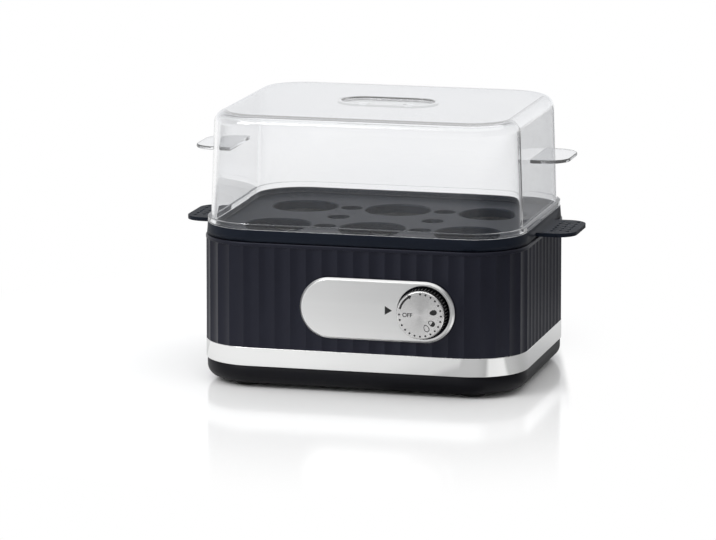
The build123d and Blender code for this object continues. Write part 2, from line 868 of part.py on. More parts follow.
# Knob: ribbed skirt and hub, hollow behind
with BuildPart() as knob_body:
    with BuildSketch(facing(knob_front_y)):
        with Locations((knob_x, knob_z)):
            Circle(knob_r - knob_rib_h)
            with PolarLocations(knob_r - knob_rib_h, knob_ribs):
                Rectangle(2 * knob_rib_h, knob_rib_w)
    extrude(amount=-(knob_rear_y - knob_front_y))
    with BuildSketch(facing(knob_rear_y)):
        with Locations((knob_x, knob_z)):
            Circle(knob_r - knob_rib_h - knob_wall)
            Circle(knob_hub_r, mode=Mode.SUBTRACT)
    extrude(amount=knob_rear_y - knob_front_y - knob_face_t, mode=Mode.SUBTRACT)
    with BuildSketch(facing(knob_rear_y)):
        with Locations((knob_x, knob_z)):
            Circle(shaft_r + fit_gap / 2)
        with Locations((knob_x, knob_z + shaft_flat + fit_gap)):
            Rectangle(
                3 * shaft_r, shaft_r, align=(Align.CENTER, Align.MIN), mode=Mode.SUBTRACT
            )
    extrude(amount=knob_rear_y - shaft_end_y + shaft_end_gap, mode=Mode.SUBTRACT)
    with BuildSketch(facing(knob_front_y)):
        with Locations((knob_x, knob_z)):
            Circle(cap_pin_r + fit_gap)
    extrude(amount=-(cap_pin_l + fit_gap), mode=Mode.SUBTRACT)
knob_body.part.label = "knob_body"
export_step(knob_body.part, "parts/knob_body.step")

# Metal face of the knob, with a bevelled edge and a pin behind
with BuildPart() as knob_cap:
    with BuildSketch(facing(knob_front_y)):
        with Locations((knob_x, knob_z)):
            Circle(cap_r)
    extrude(amount=cap_t)
    chamfer(knob_cap.edges().group_by(Axis.Y)[0], cap_bevel)
    with BuildSketch(facing(knob_front_y)):
        with Locations((knob_x, knob_z)):
            Circle(cap_pin_r)
    extrude(amount=-cap_pin_l)
knob_cap.part.label = "knob_cap"
export_step(knob_cap.part, "parts/knob_cap.step")

# Parts on the rear of the board
relay_x = board_x - board_w / 2 + relay_w / 2 + board_margin
relay_z = board_z + board_h / 2 - relay_h / 2 - board_screw_room
with BuildPart() as relay:
    with BuildSketch(facing(board_rear_y)):
        with Locations((relay_x, relay_z)):
            RectangleRounded(relay_w, relay_h, case_edge_r)
    extrude(amount=-relay_d)
relay.part.label = "relay"
export_step(relay.part, "parts/relay.step")

capacitor_x = board_x + board_w / 2 - capacitor_w / 2 - board_screw_room
capacitor_z = board_z - board_h / 2 + capacitor_h / 2 + board_screw_room + board_margin
with BuildPart() as capacitor:
    with BuildSketch(facing(board_rear_y)):
        with Locations((capacitor_x, capacitor_z)):
            RectangleRounded(capacitor_w, capacitor_h, case_edge_r)
    extrude(amount=-capacitor_d)
capacitor.part.label = "capacitor"
export_step(capacitor.part, "parts/capacitor.step")

buzzer_x = capacitor_x - capacitor_w / 2 - buzzer_r - 2 * board_margin
buzzer_z = board_z + board_h / 2 - buzzer_r - 2 * board_margin
with BuildPart() as buzzer:
    with BuildSketch(facing(board_rear_y)):
        with Locations((buzzer_x, buzzer_z)):
            Circle(buzzer_r)
            Circle(buzzer_port_r, mode=Mode.SUBTRACT)
    extrude(amount=-buzzer_h)
buzzer.part.label = "buzzer"
export_step(buzzer.part, "parts/buzzer.step")

with BuildPart() as board_connector:
    with BuildSketch(facing(board_rear_y)):
        with Locations((connector_x, connector_z)):
            Rectangle(connector_w, connector_h)
    extrude(amount=-connector_d)
    with BuildSketch(facing(connector_rear_y)):
        for k in (-1, 0, 1):
            with Locations((connector_x + k * way_pitch, connector_z)):
                Circle(way_r)
    extrude(amount=way_depth, mode=Mode.SUBTRACT)
board_connector.part.label = "board_connector"
export_step(board_connector.part, "parts/board_connector.step")

# Terminal block on the pan's floor, with its screws
block_ways = [-block_pitch, 0, block_pitch]
block_top_z = pan_floor_z + block_h
screw_well_z = block_top_z - block_screw_h
with BuildPart() as terminal_block:
    with BuildSketch(table.offset(pan_floor_z)):
        with Locations((0, block_y)):
            RectangleRounded(block_w, block_d, case_edge_r)
    extrude(amount=block_h)
    with BuildSketch(facing(block_front_y)):
        for x in block_ways:
            with Locations((x, way_z)):
                Circle(way_r)
    extrude(amount=-block_d, mode=Mode.SUBTRACT)
    with BuildSketch(table.offset(block_top_z)):
        for x in block_ways:
            with Locations((x, block_y)):
                Circle(block_screw_r + fit_gap)
    extrude(amount=-block_screw_h, mode=Mode.SUBTRACT)
terminal_block.part.label = "terminal_block"
export_step(terminal_block.part, "parts/terminal_block.step")

with BuildPart() as terminal_screws:
    with BuildSketch(table.offset(screw_well_z)):
        for x in block_ways:
            with Locations((x, block_y)):
                Circle(block_screw_r)
    extrude(amount=block_screw_h - block_screw_sunk)
    with BuildSketch(table.offset(block_top_z - block_screw_sunk)):
        for x in block_ways:
            with Locations((x, block_y)):
                Rectangle(2 * block_screw_r, slot_w)
    extrude(amount=-slot_w, mode=Mode.SUBTRACT)
terminal_screws.part.label = "terminal_screws"
export_step(terminal_screws.part, "parts/terminal_screws.step")

# Leads: each is one insulated wire on straight runs and arcs
front_way_y = block_front_y + lead_in
rear_way_y = block_rear_y - lead_in
board_way_y = connector_rear_y - way_depth + lead_in
turn_y = connector_rear_y + front_bend
lead_routes = {
    "live_lead": (
        [
            (0, front_way_y, way_z),
            (0, 0, way_z),
            (connector_x - way_pitch, turn_y, way_z + floor_rise),
            (connector_x - way_pitch, turn_y, connector_z),
            (connector_x - way_pitch, board_way_y, connector_z),
        ],
        [14.0, 8.0, 5.0],
    ),
    "board_neutral_lead": (
        [
            (block_pitch, front_way_y, way_z),
            (block_pitch, 0, way_z),
            (connector_x, turn_y, way_z + floor_rise),
            (connector_x, turn_y, connector_z),
            (connector_x, board_way_y, connector_z),
        ],
        [14.0, 8.0, 5.0],
    ),
    "thermostat_lead": (
        [
            (connector_x + way_pitch, board_way_y, connector_z),
            (connector_x + way_pitch, turn_y, connector_z),
            (connector_x - way_pitch, turn_y, fuse_z),
            (0, turn_y, fuse_z),
            (0, -tab_y - lead_gap, fuse_z),
        ],
        [5.0, 9.0, 7.0],
    ),
    "neutral_lead": (
        [
            (block_pitch, rear_way_y, way_z),
            (block_pitch, lead_y, way_z),
            (block_pitch, lead_y, tube_z),
            (loop_exit_x, loop_exit_y + pin_l + lead_gap, tube_z),
        ],
        [9.0, 5.0],
    ),
    "heater_lead": (
        [
            (0, 2 * fuse_y - tab_y + lead_gap, fuse_z),
            (0, lead_y, fuse_z),
            (-loop_exit_x, lead_y, tube_z),
            (-loop_exit_x, loop_exit_y + pin_l + lead_gap, tube_z),
        ],
        [5.0, 4.5],
    ),
    "earth_lead": (
        [
            (-block_pitch, front_way_y, way_z),
            (-block_pitch, 0, way_z),
            (-hanger_x - earth_bend, 0, way_z),
            (-hanger_x - earth_bend, 0, barrel_z),
            (barrel_x - lug_barrel_l / 2 + lug_lead_l, 0, barrel_z),
        ],
        [7.0, 10.0, 6.0],
    ),
}
for name, (route, bends) in lead_routes.items():
    start = Vector(*route[0])
    heading = Vector(*route[1]) - start
    with BuildPart() as lead:
        with BuildLine():
            FilletPolyline(*route, radius=bends)
        with BuildSketch(Plane(origin=start, z_dir=heading)):
            Circle(lead_r)
        sweep()
    lead.part.label = name
    export_step(lead.part, f"parts/{name}.step")

# Egg tray: band, floor with six seats and steam holes, spigot below, two side handles
seats = [(x, y) for x in (-seat_x, 0, seat_x) for y in (-seat_y, seat_y)]
steam_holes = [(x, y) for x in (-seat_x / 2, seat_x / 2) for y in (-seat_y, 0, seat_y)]
with BuildPart() as egg_tray:
    with BuildSketch(table.offset(skirt_z)):
        plan(skirt_inset)
    extrude(amount=skirt_h, taper=math.degrees(math.atan(skirt_draft / skirt_h)))
    fillet(egg_tray.edges().group_by(Axis.Z)[-1], tray_edge_r)
    with BuildSketch(table.offset(tray_floor_z)):
        plan(rim_inner_x, rim_inner_y)
    extrude(amount=tray_floor_drop, mode=Mode.SUBTRACT)
    with BuildSketch(table.offset(tray_under_z)):
        RectangleRounded(2 * tray_tab_x, tray_tab_w, tray_tab_r)
    extrude(amount=tray_floor_t)
    with BuildSketch(table.offset(dish_rim_z)):
        plan(tray_spigot_inset)
    extrude(amount=skirt_z - dish_rim_z)
    with BuildSketch(table.offset(dish_rim_z)):
        plan(tray_spigot_inset + tray_spigot_t)
    extrude(amount=tray_under_z - dish_rim_z, mode=Mode.SUBTRACT)
    with BuildSketch(table.offset(tray_under_z)):
        with Locations(*seats):
            Circle(seat_r + seat_collar_t)
    extrude(amount=-seat_collar_h)
    with BuildSketch(table.offset(tray_floor_z)):
        with Locations(*seats):
            Circle(seat_r)
    extrude(amount=-(tray_floor_t + seat_collar_h), mode=Mode.SUBTRACT)
    with BuildSketch(table.offset(tray_floor_z)):
        with Locations(*steam_holes):
            Circle(steam_r)
    extrude(amount=-tray_floor_t, mode=Mode.SUBTRACT)
    floor_top = egg_tray.faces().filter_by(Plane.XY).filter_by_position(
        Axis.Z, tray_floor_z - touch, tray_floor_z + touch
    )
    round_edges = floor_top.edges().filter_by(lambda edge: edge.is_closed)
    seat_edges = round_edges.group_by(SortBy.RADIUS)[-1]
    fillet(seat_edges, seat_edge_r)
    with BuildSketch(table.offset(tray_floor_z)):
        for side in (-1, 1):
            for row in range(grip_rows):
                across = tray_tab_x - grip_in - row * grip_row_pitch
                count = grip_count - row % 2
                for k in range(count):
                    with Locations((side * across, (k - (count - 1) / 2) * grip_pitch)):
                        Circle(grip_r)
    extrude(amount=-grip_depth, mode=Mode.SUBTRACT)
egg_tray.part.label = "egg_tray"
export_step(egg_tray.part, "parts/egg_tray.step")

# Lid: drafted clear box with a flange, a spigot inside the tray's rim, side tabs and a vented recess
with BuildPart() as lid_hollow:
    with BuildSketch(table.offset(tray_z - lid_spigot_h)):
        plan(lid_inner_x, lid_inner_y)
    extrude(amount=lid_spigot_h + lid_h - lid_t, taper=lid_draft)
    fillet(lid_hollow.edges().group_by(Axis.Z)[-1], lid_top_r - lid_t)

with BuildPart() as lid:
    with BuildSketch(table.offset(tray_z)):
        plan(lid_step_x, lid_step_y)
    extrude(amount=lid_h, taper=lid_draft)
    fillet(lid.edges().group_by(Axis.Z)[-1], lid_top_r)
    with BuildSketch(table.offset(tray_z)):
        plan(rim_inset)
    extrude(amount=lid_flange_h)
    with BuildSketch(table.offset(tray_z - lid_spigot_h)):
        plan(lid_spigot_x, lid_spigot_y)
    extrude(amount=lid_spigot_h)
    add(lid_hollow.part, mode=Mode.SUBTRACT)
    with BuildSketch(table.offset(lid_z - lid_t)):
        with Locations((0, recess_y)):
            SlotOverall(recess_w + 2 * lid_t, recess_d + 2 * lid_t)
    extrude(amount=-recess_depth)
    with BuildSketch(table.offset(lid_z)):
        with Locations((0, recess_y)):
            SlotOverall(recess_w, recess_d)
    extrude(amount=-recess_depth, mode=Mode.SUBTRACT)
    with BuildSketch(table.offset(lid_z)):
        with Locations((-steam_vent_x, steam_vent_y), (steam_vent_x, steam_vent_y)):
            Circle(steam_vent_r)
    extrude(amount=-(recess_depth + lid_t), mode=Mode.SUBTRACT)
    with BuildSketch(table.offset(lid_z - lid_tab_drop - lid_tab_t)):
        for side in (-1, 1):
            with BuildLine():
                FilletPolyline(
                    (side * tab_root_x, -lid_tab_w / 2),
                    (side * lid_tab_x, -lid_tab_w / 2),
                    (side * lid_tab_x, lid_tab_w / 2),
                    (side * tab_root_x, lid_tab_w / 2),
                    radius=lid_tab_r,
                )
                Line((side * tab_root_x, -lid_tab_w / 2), (side * tab_root_x, lid_tab_w / 2))
            make_face()
    extrude(amount=lid_tab_t)
lid.part.label = "lid"
export_step(lid.part, "parts/lid.step")
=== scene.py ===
import json
import math
from typing import NamedTuple

import bmesh
import bpy
from mathutils import Matrix, Vector


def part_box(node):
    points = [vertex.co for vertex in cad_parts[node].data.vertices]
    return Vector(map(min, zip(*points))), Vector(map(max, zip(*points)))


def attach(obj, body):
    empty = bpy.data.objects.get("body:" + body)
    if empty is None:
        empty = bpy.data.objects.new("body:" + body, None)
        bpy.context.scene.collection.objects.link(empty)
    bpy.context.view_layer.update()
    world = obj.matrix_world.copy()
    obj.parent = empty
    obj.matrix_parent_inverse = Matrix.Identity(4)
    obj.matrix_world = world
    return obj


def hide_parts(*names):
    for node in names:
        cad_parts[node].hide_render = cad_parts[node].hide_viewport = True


# Electric egg cooker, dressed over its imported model. Metres, in the model's frame: the knob faces -Y.
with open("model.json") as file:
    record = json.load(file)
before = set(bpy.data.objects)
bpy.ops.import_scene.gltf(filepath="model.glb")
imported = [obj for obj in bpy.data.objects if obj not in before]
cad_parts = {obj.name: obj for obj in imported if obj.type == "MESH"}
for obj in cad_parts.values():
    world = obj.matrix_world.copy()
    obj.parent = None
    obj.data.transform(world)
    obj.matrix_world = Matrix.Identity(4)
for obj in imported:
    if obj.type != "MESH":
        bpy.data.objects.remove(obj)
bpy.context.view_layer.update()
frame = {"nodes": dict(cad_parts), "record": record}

MM = 0.001
# Points closer than WELD count as one place; closer than MERGE they are made one
WELD = 0.00001
MERGE = WELD / 10
CORNER_STEPS = 20

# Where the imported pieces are
casing_low, casing_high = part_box("casing")
band_low, band_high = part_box("chrome_band")
lid_low, lid_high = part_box("lid")
plate_low, plate_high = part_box("front_plate")
knob_low, knob_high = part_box("knob_body")
cap_low, cap_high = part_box("knob_cap")
half_w = band_high.x
half_d = band_high.y
corner_r = 30.0 * MM
knob_x = (knob_low.x + knob_high.x) / 2
knob_z = (knob_low.z + knob_high.z) / 2
knob_r = (knob_high.x - knob_low.x) / 2


# Meshes

class Level(NamedTuple):
    """A rounded rectangle at a height: half its width and depth, its corners' radius, and its middle."""
    half_x: float
    half_y: float
    radius: float
    z: float
    x: float = 0.0
    y: float = 0.0

    def holds(self, co):
        """Whether a point lies on this outline."""
        across = abs(co.x - self.x) - self.half_x + self.radius
        along = abs(co.y - self.y) - self.half_y + self.radius
        if across > 0 and along > 0:
            off = math.hypot(across, along) - self.radius
        else:
            off = max(across, along) - self.radius
        return abs(off) < WELD and abs(co.z - self.z) < WELD


def stood_in(inset_x, inset_y, z):
    """The casing's plan, made smaller by the two distances."""
    return Level(half_w - inset_x, half_d - inset_y, corner_r - max(inset_x, inset_y), z)


def circle(radius, z, x=0.0, y=0.0):
    """A circle as a level that is all corners."""
    return Level(radius, radius, radius, z, x, y)


def grown(level, width):
    """The same outline made larger all round."""
    return level._replace(half_x=level.half_x + width, half_y=level.half_y + width,
                          radius=level.radius + width)


def blend(first, second, share):
    """The level this share of the way from one to another."""
    return Level(*(a + (b - a) * share for a, b in zip(first, second)))


def eased(before, corner, after, width):
    """Levels that round the corner between two others."""
    steps = 3
    start, stop = (blend(corner, other, width / math.hypot(other.half_x - corner.half_x, other.z - corner.z))
                   for other in (before, after))
    shares = [k / steps for k in range(steps + 1)]
    return [blend(blend(start, corner, t), blend(corner, stop, t), t) for t in shares]


def once(items):
    """Each item once, in the order given, where a set's order would differ from run to run."""
    return list(dict.fromkeys(items))


def verts_of(edges):
    return once(vert for edge in edges for vert in edge.verts)


def of_kind(kind, geom):
    """The vertices or the edges among what an operator made."""
    return [item for item in geom if isinstance(item, kind)]


def outline(bm, level, steps=CORNER_STEPS):
    """Edges of a level: one square face with its corners bevelled, and then the face taken away."""
    old_edges, old_faces = set(bm.edges), set(bm.faces)
    corners = bmesh.ops.create_grid(bm, x_segments=1, y_segments=1, size=1.0)["verts"]
    bmesh.ops.scale(bm, verts=corners, vec=(level.half_x, level.half_y, 1.0))
    bmesh.ops.translate(bm, verts=corners, vec=(level.x, level.y, level.z))
    bmesh.ops.bevel(bm, geom=corners, affect="VERTICES", offset=level.radius, offset_type="OFFSET",
                    segments=steps, profile=0.5, material=-1)
    bmesh.ops.delete(bm, geom=[face for face in bm.faces if face not in old_faces], context="FACES_ONLY")
    made = [edge for edge in bm.edges if edge not in old_edges]
    bmesh.ops.remove_doubles(bm, verts=verts_of(made), dist=MERGE)
    return [edge for edge in bm.edges if edge not in old_edges]


def walls(bm, levels, edges):
    """Walls from the first level's edges through the other levels; gives the last level's edges."""
    for old, new in zip(levels, levels[1:]):
        edges = of_kind(bmesh.types.BMEdge, bmesh.ops.extrude_edge_only(bm, edges=edges)["geom"])
        share = new.radius / old.radius
        for vert in verts_of(edges):
            side_x = math.copysign(1, vert.co.x - old.x)
            side_y = math.copysign(1, vert.co.y - old.y)
            across = vert.co.x - old.x - side_x * (old.half_x - old.radius)
            along = vert.co.y - old.y - side_y * (old.half_y - old.radius)
            vert.co = (new.x + side_x * (new.half_x - new.radius) + across * share,
                       new.y + side_y * (new.half_y - new.radius) + along * share, new.z)
    return edges


def flat(bm, *loops):
    """A flat face inside the first loop and round the others."""
    edges = [edge for loop in loops for edge in loop]
    bmesh.ops.triangle_fill(bm, edges=edges, use_beauty=True, use_dissolve=False)


def face_over(bm, edges):
    """One flat face over a loop, in a list."""
    return bmesh.ops.contextual_create(bm, geom=edges)["faces"]


def soften(bm, edges, width, steps):
    """Round edges over by the given width."""
    bmesh.ops.bevel(bm, geom=edges, affect="EDGES", offset=width, offset_type="OFFSET",
                    segments=steps, profile=0.5, material=-1)


def edges_at(bm, test):
    """Edges whose two ends both pass the test."""
    return [edge for edge in bm.edges if all(test(vert.co) for vert in edge.verts)]


def finish_piece(name, bm, material, body, replaced=(), place=None, angle=30.0):
    """Make a piece of a bmesh, shade it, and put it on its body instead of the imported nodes.

    Its faces are turned out and it is moved to its place. Edges that turn by more than the angle stay sharp.
    """
    bmesh.ops.remove_doubles(bm, verts=bm.verts, dist=MERGE)
    bmesh.ops.recalc_face_normals(bm, faces=bm.faces)
    if place:
        bmesh.ops.transform(bm, matrix=place, verts=bm.verts)
    settle_order(bm)
    mesh = bpy.data.meshes.new(name)
    bm.to_mesh(mesh)
    bm.free()
    mesh.shade_smooth()
    mesh.set_sharp_from_angle(angle=math.radians(angle))
    mesh.materials.append(material)
    piece = bpy.data.objects.new(name, mesh)
    bpy.context.scene.collection.objects.link(piece)
    even = piece.modifiers.new("flat_faces_stay_flat", "WEIGHTED_NORMAL")
    even.keep_sharp = True
    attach(piece, body)
    if replaced:
        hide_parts(*replaced)


def settle_order(bm):
    """Sort a bmesh by place: Blender's operators leave an order that differs from run to run."""
    for items, key in ((bm.verts, lambda vert: tuple(vert.co)),
                       (bm.edges, lambda edge: sorted(vert.index for vert in edge.verts)),
                       (bm.faces, lambda face: sorted(vert.index for vert in face.verts))):
        rank = {item: k for k, item in enumerate(sorted(items, key=key))}
        items.sort(key=rank.get)
        items.index_update()


def facing_front(x, y, z):
    """Stands a piece that is drawn flat, x right and y up, at a place so that it looks to the front."""
    return Matrix.Translation((x, y, z)) @ Matrix(((1, 0, 0, 0), (0, 0, -1, 0), (0, 1, 0, 0), (0, 0, 0, 1)))


def smooth_copy(name, node_name, material, body):
    """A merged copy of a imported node, with smooth shading between its sharp edges."""
    bm = bmesh.new()
    bm.from_mesh(frame["nodes"][node_name].data)
    finish_piece(name, bm, material, body, [node_name])


# Materials

def linear(code):
    """An sRGB hex colour as linear RGBA."""
    shares = [int(code[i:i + 2], 16) / 255 for i in (0, 2, 4)]
    return [s / 12.92 if s <= 0.04045 else ((s + 0.055) / 1.055) ** 2.4 for s in shares] + [1.0]


# A Mix node's sockets for colours: its share, its two colours and what comes out
SHARE, FIRST, SECOND, MIXED = 0, 6, 7, 2


def node(tree, kind, inputs=None, **settings):
    """Add a shader node with its settings, and give its inputs their values or links."""
    made = tree.nodes.new("ShaderNode" + kind)
    for key, value in settings.items():
        setattr(made, key, value)
    for key, value in (inputs or {}).items():
        if isinstance(value, bpy.types.NodeSocket):
            tree.links.new(value, made.inputs[key])
        else:
            made.inputs[key].default_value = value
    return made


def ramp(tree, value, stops):
    """A smooth curve of greys through the given places of a value."""
    low, high = stops[0][0], stops[-1][0]
    share = node(tree, "MapRange", {"Value": value, "From Min": low, "From Max": high}).outputs["Result"]
    curve = node(tree, "ValToRGB", {"Fac": share})
    points = curve.color_ramp.elements
    curve.color_ramp.interpolation = "EASE"
    while len(points) < len(stops):
        points.new(0.5)
    for point, (place, grey) in zip(points, stops):
        point.position = (place - low) / (high - low)
        point.color = (grey, grey, grey, 1.0)
    return curve.outputs["Color"]


def new_material(name, slot, **constants):
    """A material with its slot's name and its shader's plain settings; gives its tree and shader too."""
    material = bpy.data.materials.new(name)
    material.use_nodes = True
    material["slot"] = slot
    tree = material.node_tree
    shader = tree.nodes["Principled BSDF"]
    for key, value in constants.items():
        shader.inputs[key.replace("_", " ")].default_value = value
    return material, tree, shader


def grained(name, slot, dark, light, roughness, grain, depth, stretch=(1.0, 1.0, 1.0), **constants):
    """A surface that varies between two colours and two roughnesses, with a fine grain in relief.

    grain is the size of the grain and depth its height, in metres. A stretch under 1 draws it out.
    """
    material, tree, shader = new_material(name, slot, **constants)
    place = node(tree, "TexCoord").outputs["Object"]
    drawn = node(tree, "Mapping", {"Vector": place, "Scale": stretch}).outputs["Vector"]
    fine = node(tree, "TexNoise", {"Vector": drawn, "Scale": 1 / grain, "Detail": 3.0}).outputs["Fac"]
    # The colour drifts over a dozen grains
    mottle = 0.08 / grain
    broad = node(tree, "TexNoise", {"Vector": drawn, "Scale": mottle, "Detail": 2.0}).outputs["Fac"]
    tone = node(tree, "Mix", {SHARE: broad, FIRST: linear(dark), SECOND: linear(light)}, data_type="RGBA")
    gloss = node(tree, "MapRange", {"Value": fine, "To Min": roughness[0], "To Max": roughness[1]})
    relief = node(tree, "Bump", {"Height": fine, "Strength": 0.6, "Distance": depth})
    tree.links.new(tone.outputs[MIXED], shader.inputs["Base Color"])
    tree.links.new(gloss.outputs["Result"], shader.inputs["Roughness"])
    tree.links.new(relief.outputs["Normal"], shader.inputs["Normal"])
    return material


# ABS, moulded in a finely sparked tool: near-black with a blue cast and a soft bluish sheen
casing_abs = grained("moulded_abs_casing", "black_abs", "101018", "14151e", (0.3, 0.4),
                     0.9 * MM, 0.012 * MM, Specular_IOR_Level=0.3, Specular_Tint=linear("e4e8ff"))
# Polypropylene, moulded: flatter black than the casing, a little waxy
pan_pp = grained("moulded_polypropylene_pan", "black_pp", "030308", "06060e", (0.4, 0.52),
                 0.9 * MM, 0.012 * MM, Specular_IOR_Level=0.18)
# Polypropylene, moulded satin: the tray, slightly blue where the light grazes it
tray_pp = grained("moulded_polypropylene_tray", "black_tray_pp", "090e17", "0e141e", (0.44, 0.54),
                  0.8 * MM, 0.012 * MM, Specular_IOR_Level=0.2, Specular_Tint=linear("dfe8ff"))
# ABS, moulded and polished: the knob's ribbed skirt, black with sharp lights on its ribs
knob_abs = grained("moulded_abs_knob", "knob_black", "08080a", "0e0e10", (0.12, 0.2), 0.7 * MM, 0.006 * MM)
# Rubber, moulded: dull and slightly dusty
foot_rubber = grained("moulded_rubber_feet", "rubber", "101011", "1a1a1b", (0.75, 0.9), 1.2 * MM, 0.04 * MM)
# Rubber, moulded: the cord's bushing, dull black
bushing_rubber = grained("moulded_rubber_bushing", "inlet_rubber", "0d0d0e", "141415", (0.6, 0.75),
                         1.0 * MM, 0.03 * MM)
# Steel, roll-formed and mirror polished: faint lines along the band
band_steel = grained("polished_steel_band", "mirror_steel", "e9e9e8", "f1f1f0", (0.05, 0.09),
                     1.2 * MM, 0.002 * MM, stretch=(0.04, 0.04, 1.0), Metallic=1.0)
# Aluminium, brushed along its length and clear anodised: fine lines and a soft sheen
plate_metal = grained("brushed_anodised_aluminium_plate", "brushed_plate", "e7e7e6", "eeeeed", (0.26, 0.36),
                      0.5 * MM, 0.006 * MM, stretch=(0.03, 1.0, 1.0), Metallic=1.0)
# Steel, deep-drawn and polished: the water dish, bright with a slight blur
dish_steel = grained("polished_steel_dish", "polished_dish", "cfd0d2", "dadbdc", (0.12, 0.2),
                     1.4 * MM, 0.004 * MM, Metallic=1.0)
# Screen-printed ink: dull black, slightly raised
print_ink = grained("screen_printed_ink", "knob_black", "0d0d0e", "161617", (0.5, 0.6), 0.6 * MM, 0.004 * MM)


def spun_face():
    """Aluminium, spun in a lathe: fine rings round the knob's axis."""
    material, tree, shader = new_material("spun_aluminium_cap", "spun_aluminium",
                                          Metallic=1.0, Anisotropic=0.6)
    place = node(tree, "TexCoord").outputs["Object"]
    centre = (cap_low + cap_high) / 2
    moved = node(tree, "Mapping", {"Vector": place, "Location": -centre}).outputs["Vector"]
    ring_pitch = 0.45 * MM
    # A wave texture's ring pitch is a twentieth of pi over its scale
    rings = node(tree, "TexWave", {"Vector": moved, "Scale": math.pi / 10 / ring_pitch, "Distortion": 0.6,
                                   "Detail": 2.0}, wave_type="RINGS", rings_direction="Y").outputs["Fac"]
    tone = node(tree, "Mix", {SHARE: rings, FIRST: linear("e5e4e3"), SECOND: linear("eeedec")},
                data_type="RGBA")
    gloss = node(tree, "MapRange", {"Value": rings, "To Min": 0.2, "To Max": 0.3})
    relief = node(tree, "Bump", {"Height": rings, "Strength": 0.1, "Distance": 0.001 * MM})
    tree.links.new(tone.outputs[MIXED], shader.inputs["Base Color"])
    tree.links.new(gloss.outputs["Result"], shader.inputs["Roughness"])
    tree.links.new(relief.outputs["Normal"], shader.inputs["Normal"])
    turn = node(tree, "Tangent", direction_type="UV_MAP", uv_map="turning")
    tree.links.new(turn.outputs["Tangent"], shader.inputs["Tangent"])
    return material


def clear_plastic():
    """Clear styrene, moulded in a polished tool: sharp reflections and a trace of flow in the wall."""
    material, tree, shader = new_material("moulded_clear_styrene", "clear_lid",
                                          IOR=1.52, Roughness=0.0, Transmission_Weight=1.0)
    place = node(tree, "TexCoord").outputs["Object"]
    flow = node(tree, "TexNoise", {"Vector": place, "Scale": 1 / (60 * MM), "Detail": 1.0}).outputs["Fac"]
    tone = node(tree, "Mix", {SHARE: flow, FIRST: linear("fafbfd"), SECOND: linear("fefefe")},
                data_type="RGBA")
    relief = node(tree, "Bump", {"Height": flow, "Strength": 0.15, "Distance": 0.3 * MM})
    tree.links.new(tone.outputs[MIXED], shader.inputs["Base Color"])
    tree.links.new(relief.outputs["Normal"], shader.inputs["Normal"])
    path = node(tree, "LightPath")
    # Light falls straight through to the tray
    lit = node(tree, "Math", {0: path.outputs["Is Shadow Ray"], 1: path.outputs["Is Diffuse Ray"]},
               operation="MAXIMUM")
    clear = node(tree, "BsdfTransparent", {"Color": linear("f4f6f7")})
    # Painted light: a ray that has turned more than five times meets a glow instead, painted pale at the
    # flange and roof and dark between them
    most_turns = 5.5
    trapped = node(tree, "Math", {0: path.outputs["Ray Depth"], 1: most_turns}, operation="GREATER_THAN")
    height = node(tree, "SeparateXYZ", {"Vector": place}).outputs["Z"]
    flange_glow, wall_glow, roof_glow = 0.4, 0.1, 0.52
    painted_glow_grey = ramp(tree, height, [(lid_low.z + 8 * MM, flange_glow), (lid_low.z + 16 * MM, wall_glow),
                               (lid_high.z - 12 * MM, wall_glow), (lid_high.z - 5 * MM, roof_glow)])
    # The lid's painted glow: an emission that stands in for light trapped in the wall
    even = node(tree, "Emission", {"Color": painted_glow_grey, "Strength": 1.0})
    wall = node(tree, "MixShader", {0: trapped.outputs[0], 1: shader.outputs[0], 2: even.outputs[0]})
    both = node(tree, "MixShader", {0: lit.outputs[0], 1: wall.outputs[0], 2: clear.outputs[0]})
    tree.links.new(both.outputs[0], tree.nodes["Material Output"].inputs["Surface"])
    return material


cap_metal = spun_face()
lid_plastic = clear_plastic()

# Pieces inside the casing, each with its own stuff: colours dark and light, roughness, grain in mm, and
# whether it is metal
INNER = {
    "silicone": ("moulded_silicone_seal", "8f8f8c", "9c9c99", (0.6, 0.75), 1.0, 0.0),
    "zinc_steel": ("zinc_plated_steel", "a4a6aa", "b5b7ba", (0.3, 0.42), 0.8, 1.0),
    "spring_steel": ("rolled_spring_steel", "86868a", "96969a", (0.32, 0.45), 0.7, 1.0),
    "cast_aluminium": ("cast_aluminium", "a9a9ab", "b8b8ba", (0.45, 0.6), 1.2, 1.0),
    "shield_aluminium": ("rolled_aluminium_sheet", "bcbcbf", "c8c8ca", (0.28, 0.38), 0.9, 1.0),
    "thermostat_shell": ("drawn_aluminium_cap", "b0b0b0", "bdbdbd", (0.25, 0.35), 0.8, 1.0),
    "element_sheath": ("annealed_steel_sheath", "5c5950", "6e6a60", (0.4, 0.55), 0.8, 1.0),
    "board_laminate": ("glass_epoxy_laminate", "1b4d2a", "22592f", (0.35, 0.45), 0.6, 0.0),
    "relay_case": ("moulded_polyester_case", "1d3a78", "234486", (0.3, 0.4), 0.7, 0.0),
    "natural_nylon": ("moulded_natural_nylon", "d6d0c0", "e0dacb", (0.4, 0.55), 0.9, 0.0),
    "brass_shaft": ("turned_brass", "b08f4f", "bf9d5c", (0.2, 0.3), 0.5, 1.0),
    "lead_brown": ("brown_pvc_insulation", "4a2a17", "57321c", (0.4, 0.5), 0.8, 0.0),
    "lead_blue": ("blue_pvc_insulation", "1b3b8a", "234699", (0.4, 0.5), 0.8, 0.0),
    "lead_red": ("red_silicone_insulation", "951b16", "a5231d", (0.45, 0.6), 0.8, 0.0),
    "lead_green": ("green_pvc_insulation", "3f8a26", "4b9a30", (0.4, 0.5), 0.8, 0.0),
}
INNER_DEPTH = 0.01 * MM
node_materials = {material["slot"]: material for material in (
    casing_abs, pan_pp, tray_pp, knob_abs, foot_rubber, bushing_rubber, band_steel, plate_metal, dish_steel,
    cap_metal, lid_plastic)}
